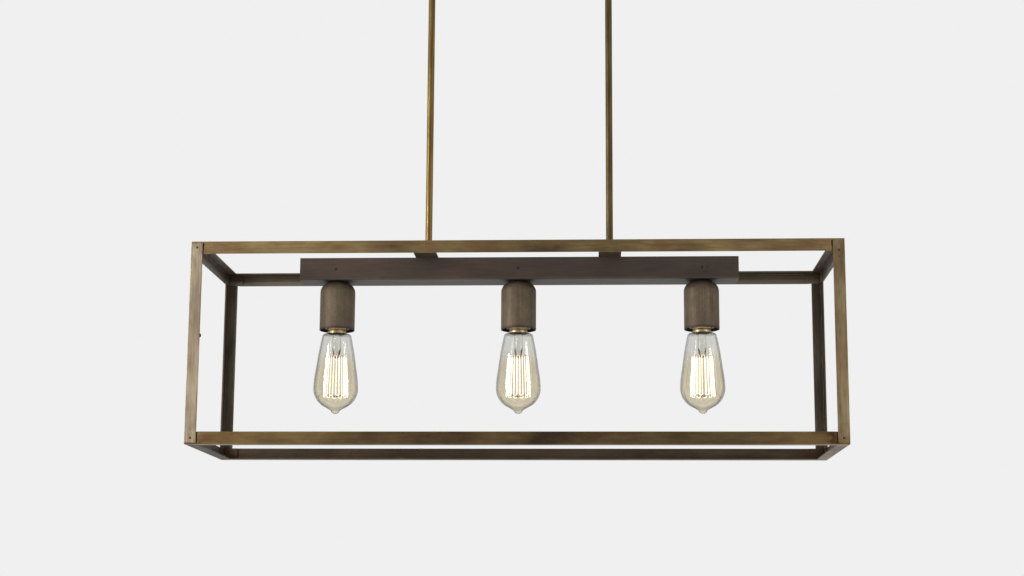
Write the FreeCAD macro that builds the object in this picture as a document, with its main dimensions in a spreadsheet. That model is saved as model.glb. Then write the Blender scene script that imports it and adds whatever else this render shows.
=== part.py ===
import FreeCAD, Part
import Sketcher
import math
import os
import re

# A three-lamp linear island pendant, in millimetres. The origin is on the ceiling, midway between
# the two stems. +Z points up, X runs along the cage and -Y faces the front.

doc = FreeCAD.newDocument("island_pendant")
sheet = doc.addObject("Spreadsheet::Sheet", "sizes")

# Driving dimensions
SIZES = {
    # cage of angle bars
    "drop": 500,
    "cage_width": 900,
    "cage_depth": 240,
    "cage_height": 282,
    "angle_leg": 16,
    "rail_face": 17.2,
    "angle_wall": 2,
    "angle_root": 1.5,
    "corner_groove": 2.2,
    "mitre_gap": 0.2,
    "tab_start": 4.5,
    "tab_lap": 6,
    # cross straps and stems
    "stem_pitch": 262,
    "stem_radius": 5,
    "stem_bore": 4,
    "stem_fit": 0.15,
    "strap_width": 32,
    "strap_wall": 2,
    "strap_end_gap": 0.5,
    "nut_flats": 15,
    "nut_height": 4,
    "thread_proud": 2,
    # lamp bar
    "bar_reach": 52,
    "bar_depth": 48,
    "bar_height": 32,
    "bar_wall": 1.5,
    "bar_bend": 2.5,
    "lid_wall": 1.5,
    "lid_tab_width": 24,
    "lid_tab_height": 19,
    "lid_tab_gap": 0.2,
    "cap_band": 4,
    # lamp cups and lampholders
    "lamp_pitch": 262,
    "cup_radius": 25.2,
    "cup_height": 70,
    "cup_wall": 1.2,
    "cup_dome": 15,
    "nipple_radius": 5,
    "nipple_bore": 4,
    "nipple_grip": 12,
    "nipple_proud": 1,
    "holder_radius": 18.5,
    "holder_neck": 9,
    "holder_neck_length": 8,
    "holder_roof": 1,
    "holder_bevel": 1,
    "holder_recess": 2.5,
    "shell_wall": 0.5,
    "shell_gap": 0.3,
    "shell_length": 21,
    "shell_inset": 1.5,
    "shell_flange": 3,
    "contact_gap": 0.4,
    "contact_radius": 4,
    "contact_bevel": 2,
    # bulbs
    "bulb_length": 142,
    "bulb_depth": 21,
    "bulb_radius": 32,
    "belly_rise": 35,
    "belly_curve": 160,
    "flank_radius": 28.9,
    "flank_rise": 65,
    "flank_curve": 500,
    "shoulder_radius": 20.6,
    "shoulder_drop": 2.6,
    "shoulder_curve": 16,
    "bowl_curve": 30,
    "bowl_end_radius": 13.9,
    "bowl_end_rise": 9.3,
    "pip_root_radius": 6.6,
    "pip_root_rise": 5,
    "pip_radius": 5.8,
    "pip_rise": 3.2,
    "pip_curve": 7,
    "pip_floor": 4.5,
    "glass_wall": 1,
    "neck_start": 12,
    "thread_radius": 13.1,
    "brass_length": 25.6,
    "brass_wall": 0.5,
    "brass_eye": 8,
    "brass_bevel": 1,
    "joint_gap": 0.15,
    "solder_tip": 2.4,
    "solder_radius": 4.6,
    "solder_height": 1.2,
    "insulator_radius": 11.6,
    "insulator_height": 6.4,
    "insulator_edge": 0.8,
    # inside of a bulb
    "flare_start": 14,
    "flare_edge": 1,
    "flare_length": 10,
    "barrel_radius": 5.5,
    "barrel_end": 8,
    "pinch_radius": 3.6,
    "pinch_edge": 2,
    "hook_edge": 1.5,
    "rod_radius": 1,
    "rod_taper": 1,
    "button_radius": 2.7,
    "filament_start": 32.4,
    "filament_rise": 25,
    "filament_top_radius": 14.5,
    "filament_low_radius": 18,
    "filament_runs": 6,
    "filament_wire": 0.5,
    # ceiling bracket
    "stem_edge": 13,
    "bracket_flange": 20,
    "bracket_width": 40,
    "bracket_wall": 2,
    "bracket_drop": 24,
    "bracket_bend": 3,
    "cable_hole": 10,
    "slot_edge": 1,
    "slot_length": 12,
    "slot_radius": 2.6,
    "block_length": 28,
    "block_width": 30,
    "block_height": 18,
    "block_place": -60,
    "well_length": 14,
    "well_width": 6,
    "well_pitch": 8.5,
    "well_depth": 6,
    # ceiling cover
    "cover_margin": 4,
    "cover_width": 70,
    "cover_height": 40,
    "cover_wall": 1.2,
    "cover_corner": 4,
    "ceiling_gap": 0.5,
    "slide_fit": 0.3,
    "cover_fit": 0.6,
    "collar_radius": 9,
    "collar_height": 12,
    "collar_edge": 1,
    # wiring
    "lead_radius": 1.1,
    "lead_spacing": 2.4,
    "lead_bend": 7,
    "lead_level": -10,
    "lead_drop": 1,
    "lead_tail": 9,
}

# Places and sizes that follow from the driving dimensions
PLACES = {
    # along X
    "bar_length": "2 * (lamp_pitch + bar_reach)",
    "bracket_half": "stem_pitch / 2 + stem_edge",
    "bracket_face": "bracket_half + bracket_wall",
    "bracket_end": "bracket_face + bracket_flange",
    "slot_place": "bracket_face + bracket_bend + slot_edge + slot_length / 2",
    "cover_length": "2 * (bracket_end + cover_margin)",
    # radii
    "stem_hole": "stem_radius + stem_fit",
    "nipple_hole": "nipple_radius + stem_fit",
    "shell_bore": "thread_radius + shell_gap",
    "shell_radius": "shell_bore + shell_wall",
    "neck_radius": "thread_radius - brass_wall - joint_gap",
    # heights above the ceiling plane
    "cage_top": "-drop",
    "strap_top": "cage_top - angle_wall",
    "strap_under": "strap_top - strap_wall",
    "lid_under": "strap_under - lid_wall",
    "bar_under": "strap_under - bar_height",
    "bar_floor": "bar_under + bar_wall",
    "cup_roof": "bar_under - cup_wall",
    "cup_rim": "bar_under - cup_height",
    "holder_top": "cup_roof - nut_height",
    "holder_mouth": "cup_rim + holder_recess",
    "shell_top": "holder_mouth + shell_inset + shell_length",
    "bulb_top": "cup_rim + bulb_depth",
    "plate_top": "-bracket_drop",
    "plate_under": "plate_top - bracket_wall",
    "stem_top": "plate_top + nut_height + thread_proud",
    "stem_end": "lid_under - nut_height - thread_proud",
    "cover_under": "-cover_height",
    "run_level": "stem_end - lead_bend - lead_drop",
    # heights above a bulb's own contact tip
    "tip": "-bulb_length",
    "belly": "tip + belly_rise",
    "flank": "tip + flank_rise",
    "filament_top": "-brass_length - filament_start",
    "filament_low": "tip + filament_rise",
}


def fill_sheet():
    for row, (alias, size) in enumerate(SIZES.items(), start=1):
        sheet.set("A%d" % row, alias.replace("_", " "))
        sheet.set("B%d" % row, str(size))
        sheet.setAlias("B%d" % row, alias)
    doc.recompute()


def formula(text):
    """The expression for a formula written with the names above."""
    def swap(match):
        word = match.group()
        if word in PLACES:
            return "(" + formula(PLACES[word]) + ")"
        return "sizes." + word if word in SIZES else word
    return re.sub(r"[a-z][a-z_]*", swap, str(text))


def number(text):
    return float(sheet.evalExpression(formula(text)))


def bind(thing, prop, text):
    thing.setExpression(prop, formula(text))


fill_sheet()


# Bodies, sketches and features

def new_body(name):
    body = doc.addObject("PartDesign::Body", name)
    body.Label = name
    return body


def place(thing, x="0", y="0", z="0", turn=0):
    """Puts a piece at its place, turned by an angle in degrees about its own Z axis."""
    spot = FreeCAD.Vector(number(x), number(y), number(z))
    thing.Placement = FreeCAD.Placement(spot, FreeCAD.Rotation(FreeCAD.Vector(0, 0, 1), turn))
    bind(thing, "Placement.Base.x", x)
    bind(thing, "Placement.Base.y", y)
    bind(thing, "Placement.Base.z", z)
    return thing


def new_sketch(body, plane, lift="0"):
    """An empty sketch on an origin plane of its body, lifted along the plane's normal."""
    sketch = body.newObject("Sketcher::SketchObject", body.Name + "_" + plane.lower())
    face = [item for item in body.Origin.OriginFeatures if item.Role == plane + "_Plane"][0]
    sketch.AttachmentSupport = [(face, "")]
    sketch.MapMode = "FlatFace"
    sketch.setExpression("AttachmentOffset.Base.z", formula(lift))
    return sketch


def arc_between(start, end, radius):
    """The arc from start to end, which turns left for a positive radius and right for a negative one."""
    chord = end - start
    side = FreeCAD.Vector(-chord.y, chord.x, 0).normalize()
    rise = math.sqrt(max(radius * radius - chord.Length ** 2 / 4, 0))
    centre = (start + end) * 0.5 + side * math.copysign(rise, radius)
    first, last = (start, end) if radius > 0 else (end, start)
    angles = [math.atan2(p.y - centre.y, p.x - centre.x) for p in (first, last)]
    return Part.ArcOfCircle(Part.Circle(centre, FreeCAD.Vector(0, 0, 1), abs(radius)), *angles)


def outline(sketch, points):
    """Draws a closed outline. Each point is (x, y), or (x, y, radius) where an arc leaves it."""
    spots = [FreeCAD.Vector(number(p[0]), number(p[1]), 0) for p in points]
    ends = []
    for i, point in enumerate(points):
        start, end = spots[i], spots[(i + 1) % len(points)]
        radius = number(point[2]) if len(point) == 3 else 0
        edge = arc_between(start, end, radius) if radius else Part.LineSegment(start, end)
        index = sketch.addGeometry(edge, False)
        ends.append((index, 1, 2) if radius >= 0 else (index, 2, 1))
    for (edge, _, tail), (after, head, _) in zip(ends, ends[1:] + ends[:1]):
        sketch.addConstraint(Sketcher.Constraint("Coincident", edge, tail, after, head))
    for point, spot, (edge, head, _) in zip(points, spots, ends):
        for kind, size, text in (("DistanceX", spot.x, point[0]), ("DistanceY", spot.y, point[1])):
            index = sketch.addConstraint(Sketcher.Constraint(kind, -1, 1, edge, head, size))
            sketch.setExpression("Constraints[%d]" % index, formula(text))
        if len(point) == 3:
            size = abs(number(point[2]))
            index = sketch.addConstraint(Sketcher.Constraint("Radius", edge, size))
            sketch.setExpression("Constraints[%d]" % index, "abs(" + formula(point[2]) + ")")
    return sketch


def circle(sketch, x, y, radius):
    spot = FreeCAD.Vector(number(x), number(y), 0)
    ring = Part.Circle(spot, FreeCAD.Vector(0, 0, 1), number(radius))
    edge = sketch.addGeometry(ring, False)
    sizes = (("DistanceX", (-1, 1, edge, 3, spot.x), x), ("DistanceY", (-1, 1, edge, 3, spot.y), y),
             ("Radius", (edge, number(radius)), radius))
    for kind, where, text in sizes:
        index = sketch.addConstraint(Sketcher.Constraint(kind, *where))
        sketch.setExpression("Constraints[%d]" % index, formula(text))
    return sketch


def rectangle(sketch, left, low, right, high):
    return outline(sketch, [(left, low), (right, low), (right, high), (left, high)])


def rounded(sketch, half_x, half_y, radius):
    """A rectangle about the sketch's centre with round corners."""
    in_x, in_y = "(%s - %s)" % (half_x, radius), "(%s - %s)" % (half_y, radius)
    return outline(sketch, [
        ("-" + in_x, "-(%s)" % half_y), (in_x, "-(%s)" % half_y, radius),
        (half_x, "-" + in_y), (half_x, in_y, radius),
        (in_x, half_y), ("-" + in_x, half_y, radius),
        ("-(%s)" % half_x, in_y), ("-(%s)" % half_x, "-" + in_y, radius)])


def hexagon(sketch, flats):
    corner = "(%s) / sqrt(3)" % flats
    return outline(sketch, [
        (corner, "0"), (corner + " / 2", "(%s) / 2" % flats), ("-" + corner + " / 2", "(%s) / 2" % flats),
        ("-" + corner, "0"), ("-" + corner + " / 2", "-(%s) / 2" % flats),
        (corner + " / 2", "-(%s) / 2" % flats)])


def pad(body, sketch, length, reverse=False, middle=False):
    doc.recompute()
    feature = body.newObject("PartDesign::Pad", sketch.Name + "_pad")
    feature.Profile = sketch
    bind(feature, "Length", length)
    feature.Reversed = reverse
    feature.Midplane = middle
    doc.recompute()
    return feature


def pocket(body, sketch, depth=None, reverse=False):
    """Cuts to a depth, or right through both ways, and makes sure that it removed something."""
    doc.recompute()
    before = body.Shape.Volume
    feature = body.newObject("PartDesign::Pocket", sketch.Name + "_pocket")
    feature.Profile = sketch
    if depth is None:
        feature.Type = "ThroughAll"
        feature.Midplane = True
    else:
        bind(feature, "Length", depth)
        feature.Reversed = reverse
    doc.recompute()
    if body.Shape.Volume > before - 0.01:
        raise ValueError(sketch.Name + " cuts nothing")
    return feature


def turned(name, points):
    """A piece turned about the Z axis; its outline gives radius and height."""
    body = new_body(name)
    sketch = outline(new_sketch(body, "XZ"), points)
    doc.recompute()
    feature = body.newObject("PartDesign::Revolution", name + "_turn")
    feature.Profile = sketch
    feature.ReferenceAxis = (sketch, ["V_Axis"])
    feature.Angle = 360
    return body


def group(name, bodies):
    """Several separate solids that are one kind of part."""
    for i, body in enumerate(bodies, start=1):
        body.Label = "%s %d" % (name, i)
    compound = doc.addObject("Part::Compound", name)
    compound.Label = name
    compound.Links = bodies
    return compound


subparts = []


def keep(thing):
    subparts.append(thing)
    return thing


# Pieces that repeat

def hex_nut(name, hole):
    """A hexagon nut that stands on its underside."""
    body = new_body(name)
    sketch = hexagon(new_sketch(body, "XY"), "nut_flats")
    circle(sketch, "0", "0", hole)
    pad(body, sketch, "nut_height")
    return body


def tube(name, radius, bore, length):
    """A round tube that stands on its lower end."""
    body = new_body(name)
    sketch = circle(new_sketch(body, "XY"), "0", "0", radius)
    circle(sketch, "0", "0", bore)
    pad(body, sketch, length)
    return body


def slot(sketch, middle, half, radius):
    """A slot along X about its middle, with round ends."""
    right, left = "(%s + %s - %s)" % (middle, half, radius), "(%s - %s + %s)" % (middle, half, radius)
    outline(sketch, [
        (left, "-" + radius), (right, "-" + radius, radius), (right + " + " + radius, "0", radius),
        (right, radius), (left, radius, radius), (left + " - " + radius, "0", radius)])


# Ceiling bracket: a steel strip bent into a hat, with its flanges on the ceiling

def ceiling_bracket():
    body = new_body("ceiling_bracket")
    big = "(bracket_bend + bracket_wall)"
    strip = outline(new_sketch(body, "XZ"), [
        ("-bracket_end", "0"),
        ("-bracket_half - " + big, "0", "-" + big),
        ("-bracket_half", "-" + big),
        ("-bracket_half", "plate_top + bracket_bend", "bracket_bend"),
        ("-bracket_half + bracket_bend", "plate_top"),
        ("bracket_half - bracket_bend", "plate_top", "bracket_bend"),
        ("bracket_half", "plate_top + bracket_bend"),
        ("bracket_half", "-" + big, "-" + big),
        ("bracket_half + " + big, "0"),
        ("bracket_end", "0"),
        ("bracket_end", "-bracket_wall"),
        ("bracket_face + bracket_bend", "-bracket_wall", "bracket_bend"),
        ("bracket_face", "-bracket_wall - bracket_bend"),
        ("bracket_face", "plate_under + " + big, "-" + big),
        ("bracket_face - " + big, "plate_under"),
        ("-bracket_face + " + big, "plate_under", "-" + big),
        ("-bracket_face", "plate_under + " + big),
        ("-bracket_face", "-bracket_wall - bracket_bend", "bracket_bend"),
        ("-bracket_face - bracket_bend", "-bracket_wall"),
        ("-bracket_end", "-bracket_wall"),
    ])
    pad(body, strip, "bracket_width", middle=True)
    holes = circle(new_sketch(body, "XY"), "0", "0", "cable_hole")
    for side in ("-", ""):
        circle(holes, side + "stem_pitch / 2", "0", "stem_hole")
        slot(holes, side + "slot_place", "slot_length / 2", "slot_radius")
    pocket(body, holes)
    return body


keep(ceiling_bracket())


# Terminal block on the bracket, with three wire wells in its top

def terminal_block():
    body = new_body("terminal_block")
    half_x, half_y = "block_length / 2", "block_width / 2"
    pad(body, rectangle(new_sketch(body, "XY"), "-" + half_x, "-" + half_y, half_x, half_y), "block_height")
    wells = new_sketch(body, "XY", "block_height")
    for step in (-1, 0, 1):
        middle = "%d * well_pitch" % step
        rectangle(wells, "-well_length / 2", middle + " - well_width / 2",
                  "well_length / 2", middle + " + well_width / 2")
    pocket(body, wells, "well_depth")
    return place(body, "block_place", "0", "plate_top")


keep(terminal_block())


# Stems and the nuts that clamp them to the bracket, the straps and the bar's lid

for side, name in (("-", "stem_left"), ("", "stem_right")):
    stem = tube(name, "stem_radius", "stem_bore", "stem_top - stem_end")
    keep(place(stem, side + "stem_pitch / 2", "0", "stem_end"))

for name, levels in (("stem_top_nuts", ("plate_top", "plate_under - nut_height")),
                     ("stem_lower_nuts", ("strap_top", "lid_under - nut_height"))):
    nuts = []
    for side in ("-", ""):
        for level in levels:
            nut = hex_nut("%s_%d" % (name, len(nuts) + 1), "stem_hole")
            nuts.append(place(nut, side + "stem_pitch / 2", "0", level))
    keep(group(name, nuts))


# Cage: four angle uprights between two rings of mitred angle rails

# How far the outline of a cut runs past the metal
PAST = "1"


def upright(name):
    """An angle bar along Z whose outer corner is its own origin, its legs along +X and +Y."""
    body = new_body(name)
    fillet = "angle_wall + angle_root"
    section = outline(new_sketch(body, "XY"), [
        ("0", "0"), ("angle_leg", "0"), ("angle_leg", "angle_wall"),
        (fillet, "angle_wall", "-angle_root"), ("angle_wall", fillet),
        ("angle_wall", "angle_leg"), ("0", "angle_leg")])
    pad(body, section, "cage_height - 2 * angle_wall")
    return body


def rail(name, length):
    """An angle rail along X: its upright leg, rail_face high, faces -Y, its flat leg is on top and
    mitred, and a tab at each end laps behind the upright."""
    body = new_body(name)
    fillet = "-angle_wall - angle_root"
    half = "%s / 2" % length
    section = outline(new_sketch(body, "YZ"), [
        ("0", "0"), ("0", "-rail_face"), ("angle_wall", "-rail_face"),
        ("angle_wall", fillet, "-angle_root"), ("angle_wall + angle_root", "-angle_wall"),
        ("angle_leg", "-angle_wall"), ("angle_leg", "0")])
    pad(body, section, length, middle=True)
    notches = new_sketch(body, "XZ")
    mitres = new_sketch(body, "XY")
    tabs = new_sketch(body, "XZ", "-angle_wall")
    for side in ("-", ""):
        corner = side + "(%s" % half
        rectangle(notches, corner + " - angle_leg - corner_groove)", "-angle_wall",
                  corner + " + %s)" % PAST, "-rail_face - " + PAST)
        outside, far = corner + " + 2 * %s)" % PAST, "angle_leg + " + PAST
        outline(mitres, [
            (corner + " - mitre_gap + %s)" % PAST, "-" + PAST), (outside, "-" + PAST), (outside, far),
            (corner + " - mitre_gap - angle_leg - %s)" % PAST, far)])
        rectangle(tabs, corner + " - tab_start)", "-angle_wall",
                  corner + " - angle_leg - corner_groove - tab_lap)", "-rail_face")
    pocket(body, notches)
    pocket(body, mitres)
    pad(body, tabs, "angle_wall", reverse=True)
    return body


UPRIGHTS = (("front_left", "-", "-", 0), ("front_right", "", "-", 90),
            ("back_right", "", "", 180), ("back_left", "-", "", 270))
for corner, x_side, y_side, turn in UPRIGHTS:
    keep(place(upright("upright_" + corner), x_side + "cage_width / 2", y_side + "cage_depth / 2",
               "cage_top - cage_height + angle_wall", turn))

RAILS = (("front", "cage_width", "0", "-cage_depth / 2", 0),
         ("right", "cage_depth", "cage_width / 2", "0", 90),
         ("back", "cage_width", "0", "cage_depth / 2", 180),
         ("left", "cage_depth", "-cage_width / 2", "0", 270))
for face, length, x, y, turn in RAILS:
    keep(place(rail("top_rail_" + face, length), x, y, "cage_top", turn))
for face, length, x, y, turn in RAILS:
    # Half a turn about the rail's own Y axis puts its flat leg at the bottom
    flipped = place(rail("bottom_rail_" + face, length), x, y, "cage_top - cage_height")
    about_z = FreeCAD.Rotation(FreeCAD.Vector(0, 0, 1), turn)
    flipped.Placement.Rotation = about_z.multiply(FreeCAD.Rotation(FreeCAD.Vector(0, 1, 0), 180))
    keep(flipped)


# Straps across the top of the cage, under the flat legs of its rails

for side, name in (("-", "strap_left"), ("", "strap_right")):
    strap = new_body(name)
    reach = "(cage_depth / 2 - angle_wall - angle_root - strap_end_gap)"
    plan = rectangle(new_sketch(strap, "XY"), "-strap_width / 2", "-" + reach, "strap_width / 2", reach)
    circle(plan, "0", "0", "stem_hole")
    pad(strap, plan, "strap_wall")
    keep(place(strap, side + "stem_pitch / 2", "0", "strap_under"))


# Lamp bar: an open channel, its lid with down-turned tabs, and two end caps

LAMPS = (("left", "-lamp_pitch"), ("middle", "0"), ("right", "lamp_pitch"))


def bar_channel():
    body = new_body("bar_channel")
    side, depth, bend = "bar_depth / 2", "bar_height - lid_wall", "bar_bend"
    inner = "(bar_bend - bar_wall)"
    section = outline(new_sketch(body, "YZ"), [
        ("-" + side, depth),
        ("-" + side, bend, bend),
        ("-" + side + " + " + bend, "0"),
        (side + " - " + bend, "0", bend),
        (side, bend),
        (side, depth),
        (side + " - bar_wall", depth),
        (side + " - bar_wall", bend, "-" + inner),
        (side + " - " + bend, "bar_wall"),
        ("-" + side + " + " + bend, "bar_wall", "-" + inner),
        ("-" + side + " + bar_wall", bend),
        ("-" + side + " + bar_wall", depth),
    ])
    pad(body, section, "bar_length - 2 * cap_band", middle=True)
    holes = new_sketch(body, "XY")
    for _, x in LAMPS:
        circle(holes, x, "0", "nipple_hole")
    pocket(body, holes)
    return place(body, z="bar_under")


def bar_lid():
    body = new_body("bar_lid")
    half = "(bar_length / 2 - cap_band)"
    plate = rectangle(new_sketch(body, "XY"), "-" + half, "-bar_depth / 2", half, "bar_depth / 2")
    for side in ("-", ""):
        circle(plate, side + "stem_pitch / 2", "0", "stem_hole")
    pad(body, plate, "lid_wall")
    tabs = new_sketch(body, "XY")
    face = "(bar_depth / 2 - bar_wall - lid_tab_gap"
    for _, x in LAMPS:
        left, right = x + " - lid_tab_width / 2", x + " + lid_tab_width / 2"
        rectangle(tabs, left, face + " - lid_wall)", right, face + ")")
        rectangle(tabs, left, "-" + face + ")", right, "-" + face + " - lid_wall)")
    pad(body, tabs, "lid_tab_height", reverse=True)
    return place(body, z="lid_under")


def bar_cap(name):
    """A shallow tray that closes an end of the bar; its closed face is towards +X."""
    body = new_body(name)
    half = "bar_depth / 2"
    block = outline(new_sketch(body, "YZ"), [
        ("-" + half, "bar_height"), ("-" + half, "bar_bend", "bar_bend"), ("-" + half + " + bar_bend", "0"),
        (half + " - bar_bend", "0", "bar_bend"), (half, "bar_bend"), (half, "bar_height")])
    pad(body, block, "cap_band")
    inner = rectangle(new_sketch(body, "YZ"), "-" + half + " + bar_wall", "bar_wall",
                      half + " - bar_wall", "bar_height - bar_wall")
    pocket(body, inner, "cap_band - bar_wall", reverse=True)
    return body


keep(bar_channel())
keep(bar_lid())
keep(place(bar_cap("bar_cap_right"), "bar_length / 2 - cap_band", "0", "bar_under"))
keep(place(bar_cap("bar_cap_left"), "-bar_length / 2 + cap_band", "0", "bar_under", 180))


# Lamp cups, lampholders and their brass

def cup(name):
    """A spun cup that hangs from its own origin."""
    flat = "(cup_radius - cup_dome)"
    low = "-cup_height"
    return turned(name, [
        ("nipple_hole", "0"),
        ("nipple_hole", "-cup_wall"),
        (flat, "-cup_wall", "-cup_dome + cup_wall"),
        ("cup_radius - cup_wall", "-cup_dome"),
        ("cup_radius - cup_wall", low),
        ("cup_radius", low),
        ("cup_radius", "-cup_dome", "cup_dome"),
        (flat, "0"),
    ])


def lampholder(name):
    """A moulded lampholder below its own origin: a threaded neck, a round shoulder and an open mouth."""
    mouth = "holder_mouth - holder_top"
    bore = "(shell_radius + shell_gap)"
    shoulder = "(holder_radius - holder_neck)"
    return turned(name, [
        ("nipple_hole", "0"),
        ("nipple_hole", "-nipple_grip - holder_roof"),
        ("0", "-nipple_grip - holder_roof"),
        ("0", "shell_top - holder_top"),
        (bore, "shell_top - holder_top"),
        (bore, mouth),
        ("holder_radius - holder_bevel", mouth),
        ("holder_radius", mouth + " + holder_bevel"),
        ("holder_radius", "-holder_neck_length - " + shoulder, shoulder),
        ("holder_neck", "-holder_neck_length"),
        ("holder_neck", "0"),
    ])


def screw_shell(name):
    """The brass shell that a bulb screws into: a flange on the holder's floor and a rolled wall."""
    ring = "(shell_radius - shell_flange)"
    return turned(name, [
        (ring, "0"),
        (ring, "-shell_wall"),
        ("shell_bore", "-shell_wall"),
        ("shell_bore", "-shell_length"),
        ("shell_radius", "-shell_length"),
        ("shell_radius", "0"),
    ])


def centre_contact(name):
    """The contact stud on the holder's floor, bevelled towards the bulb."""
    face = "bulb_top + contact_gap - shell_top"
    return turned(name, [
        ("0", "0"), ("0", face), ("contact_radius - contact_bevel", face),
        ("contact_radius", face + " + contact_bevel"), ("contact_radius", "0")])


nipples, nipple_nuts, contacts = [], [], []
for lamp, x in LAMPS:
    keep(place(cup("cup_" + lamp), x, z="bar_under"))
    keep(place(lampholder("lampholder_" + lamp), x, z="holder_top"))
    keep(place(screw_shell("screw_shell_" + lamp), x, z="shell_top"))
    contacts.append(place(centre_contact("centre_contact_" + lamp), x, z="shell_top"))
    foot = "holder_top - nipple_grip"
    height = "bar_floor + nut_height + nipple_proud - (%s)" % foot
    nipple = tube("nipple_" + lamp, "nipple_radius", "nipple_bore", height)
    nipples.append(place(nipple, x, z=foot))
    for level in ("bar_floor", "holder_top"):
        nut = hex_nut("nipple_nut_%d" % (len(nipple_nuts) + 1), "nipple_hole")
        nipple_nuts.append(place(nut, x, z=level))
keep(group("centre_contacts", contacts))
keep(group("nipples", nipples))
keep(group("nipple_nuts", nipple_nuts))


# Bulbs, each below its own contact tip

def bulb_contact(name):
    """The solder tip on its insulating cone."""
    return turned(name, [
        ("0", "0"),
        ("solder_tip", "0"),
        ("solder_radius", "-solder_height"),
        ("insulator_radius", "-insulator_height + insulator_edge"),
        ("insulator_radius", "-insulator_height"),
        ("0", "-insulator_height"),
    ])


def bulb_cap(name):
    """The brass cap: a shoulder, the threaded barrel and a smooth skirt round the glass neck."""
    inside = "(thread_radius - brass_wall)"
    top = "(-insulator_height - joint_gap)"
    corner = "(brass_bevel + (sqrt(2) - 1) * brass_wall)"
    return turned(name, [
        ("brass_eye", top),
        ("thread_radius - brass_bevel", top),
        ("thread_radius", top + " - brass_bevel"),
        ("thread_radius", "-brass_length"),
        (inside, "-brass_length"),
        (inside, top + " - " + corner),
        ("thread_radius - " + corner, top + " - brass_wall"),
        ("brass_eye", top + " - brass_wall"),
    ])


def bulb_glass(name):
    """The pear-shaped glass: a neck in the cap, long sides, a round belly and a sealed tip."""
    thin = " - glass_wall"
    shoulder = "-brass_length - shoulder_drop"
    return turned(name, [
        ("neck_radius", "-neck_start"),
        ("neck_radius", "-brass_length - joint_gap", "-shoulder_curve"),
        ("shoulder_radius", shoulder, "-flank_curve"),
        ("flank_radius", "flank", "-belly_curve"),
        ("bulb_radius", "belly", "-bowl_curve"),
        ("bowl_end_radius", "tip + bowl_end_rise"),
        ("pip_root_radius", "tip + pip_root_rise"),
        ("pip_radius", "tip + pip_rise", "-pip_curve"),
        ("0", "tip"),
        ("0", "tip + pip_floor"),
        ("pip_root_radius" + thin, "tip + pip_root_rise + glass_wall / 2"),
        ("bowl_end_radius - glass_wall / sqrt(2)", "tip + bowl_end_rise + glass_wall / sqrt(2)",
         "bowl_curve" + thin),
        ("bulb_radius" + thin, "belly", "belly_curve" + thin),
        ("flank_radius" + thin, "flank", "flank_curve" + thin),
        ("shoulder_radius" + thin, shoulder + thin, "shoulder_curve" + thin),
        ("neck_radius" + thin, "-brass_length - joint_gap" + thin),
        ("neck_radius" + thin, "-neck_start"),
    ])


def bulb_mount(name):
    """The glass stem on the bulb's axis: a flared foot in the neck, a round barrel, a pinched end and
    a thin rod that ends in a button."""
    foot = "(neck_radius - glass_wall - joint_gap)"
    return turned(name, [
        ("0", "-flare_start"),
        (foot, "-flare_start"),
        (foot, "-flare_start - flare_edge"),
        ("barrel_radius", "-flare_start - flare_length"),
        ("barrel_radius", "filament_top + barrel_end"),
        ("pinch_radius", "filament_top + pinch_edge"),
        ("pinch_radius", "filament_top - hook_edge"),
        ("rod_radius", "filament_top - hook_edge - rod_taper"),
        ("rod_radius", "filament_low + hook_edge"),
        ("button_radius", "filament_low + hook_edge"),
        ("button_radius", "filament_low - hook_edge"),
        ("0", "filament_low - hook_edge"),
    ])


def filament(name):
    """The squirrel cage: wire that runs up and down between two rings of hooks, and the hooks."""
    runs = round(number("filament_runs"))
    thick = number("filament_wire")
    top = FreeCAD.Vector(number("filament_top_radius"), 0, number("filament_top"))
    low = FreeCAD.Vector(number("filament_low_radius"), 0, number("filament_low"))
    axis = FreeCAD.Vector(0, 0, 1)
    corners = []
    for i in range(2 * runs):
        turn = FreeCAD.Rotation(axis, 180 * (i + 0.5) / runs)
        corners.append(turn.multVec(low if i % 2 else top))
    solids = []
    for start, end in zip(corners, corners[1:] + corners[:1]):
        solids.append(square_wire(start, end, thick))
    for corner in corners:
        hub_radius = number("pinch_radius" if corner.z == top.z else "button_radius")
        inner = hub_radius + number("joint_gap") + thick / 2
        hub = FreeCAD.Vector(corner.x, corner.y, 0).normalize() * inner
        solids.append(square_wire(FreeCAD.Vector(hub.x, hub.y, corner.z), corner * 1.0, thick))
    feature = doc.addObject("Part::Feature", name)
    feature.Label = name
    feature.Shape = solids[0].multiFuse(solids[1:]).removeSplitter()
    return feature


def square_wire(start, end, thick):
    """A straight wire of square section that overruns both ends by half its thickness."""
    along = (end - start).normalize()
    start = start - along * (thick / 2)
    end = end + along * (thick / 2)
    across = along.cross(FreeCAD.Vector(-start.y, start.x, 0)).normalize() * (thick / 2)
    other = along.cross(across).normalize() * (thick / 2)
    ring = [start + across + other, start - across + other, start - across - other, start + across - other]
    face = Part.Face(Part.makePolygon(ring + ring[:1]))
    return face.extrude(end - start)


for lamp, x in LAMPS:
    for make, name in ((bulb_contact, "bulb_contact_"), (bulb_cap, "bulb_cap_"), (bulb_glass, "bulb_glass_"),
                       (bulb_mount, "bulb_mount_"), (filament, "filament_")):
        keep(place(make(name + lamp), x, z="bulb_top"))


# Ceiling cover, which slides down the stems, and the collars that hold it up

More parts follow.
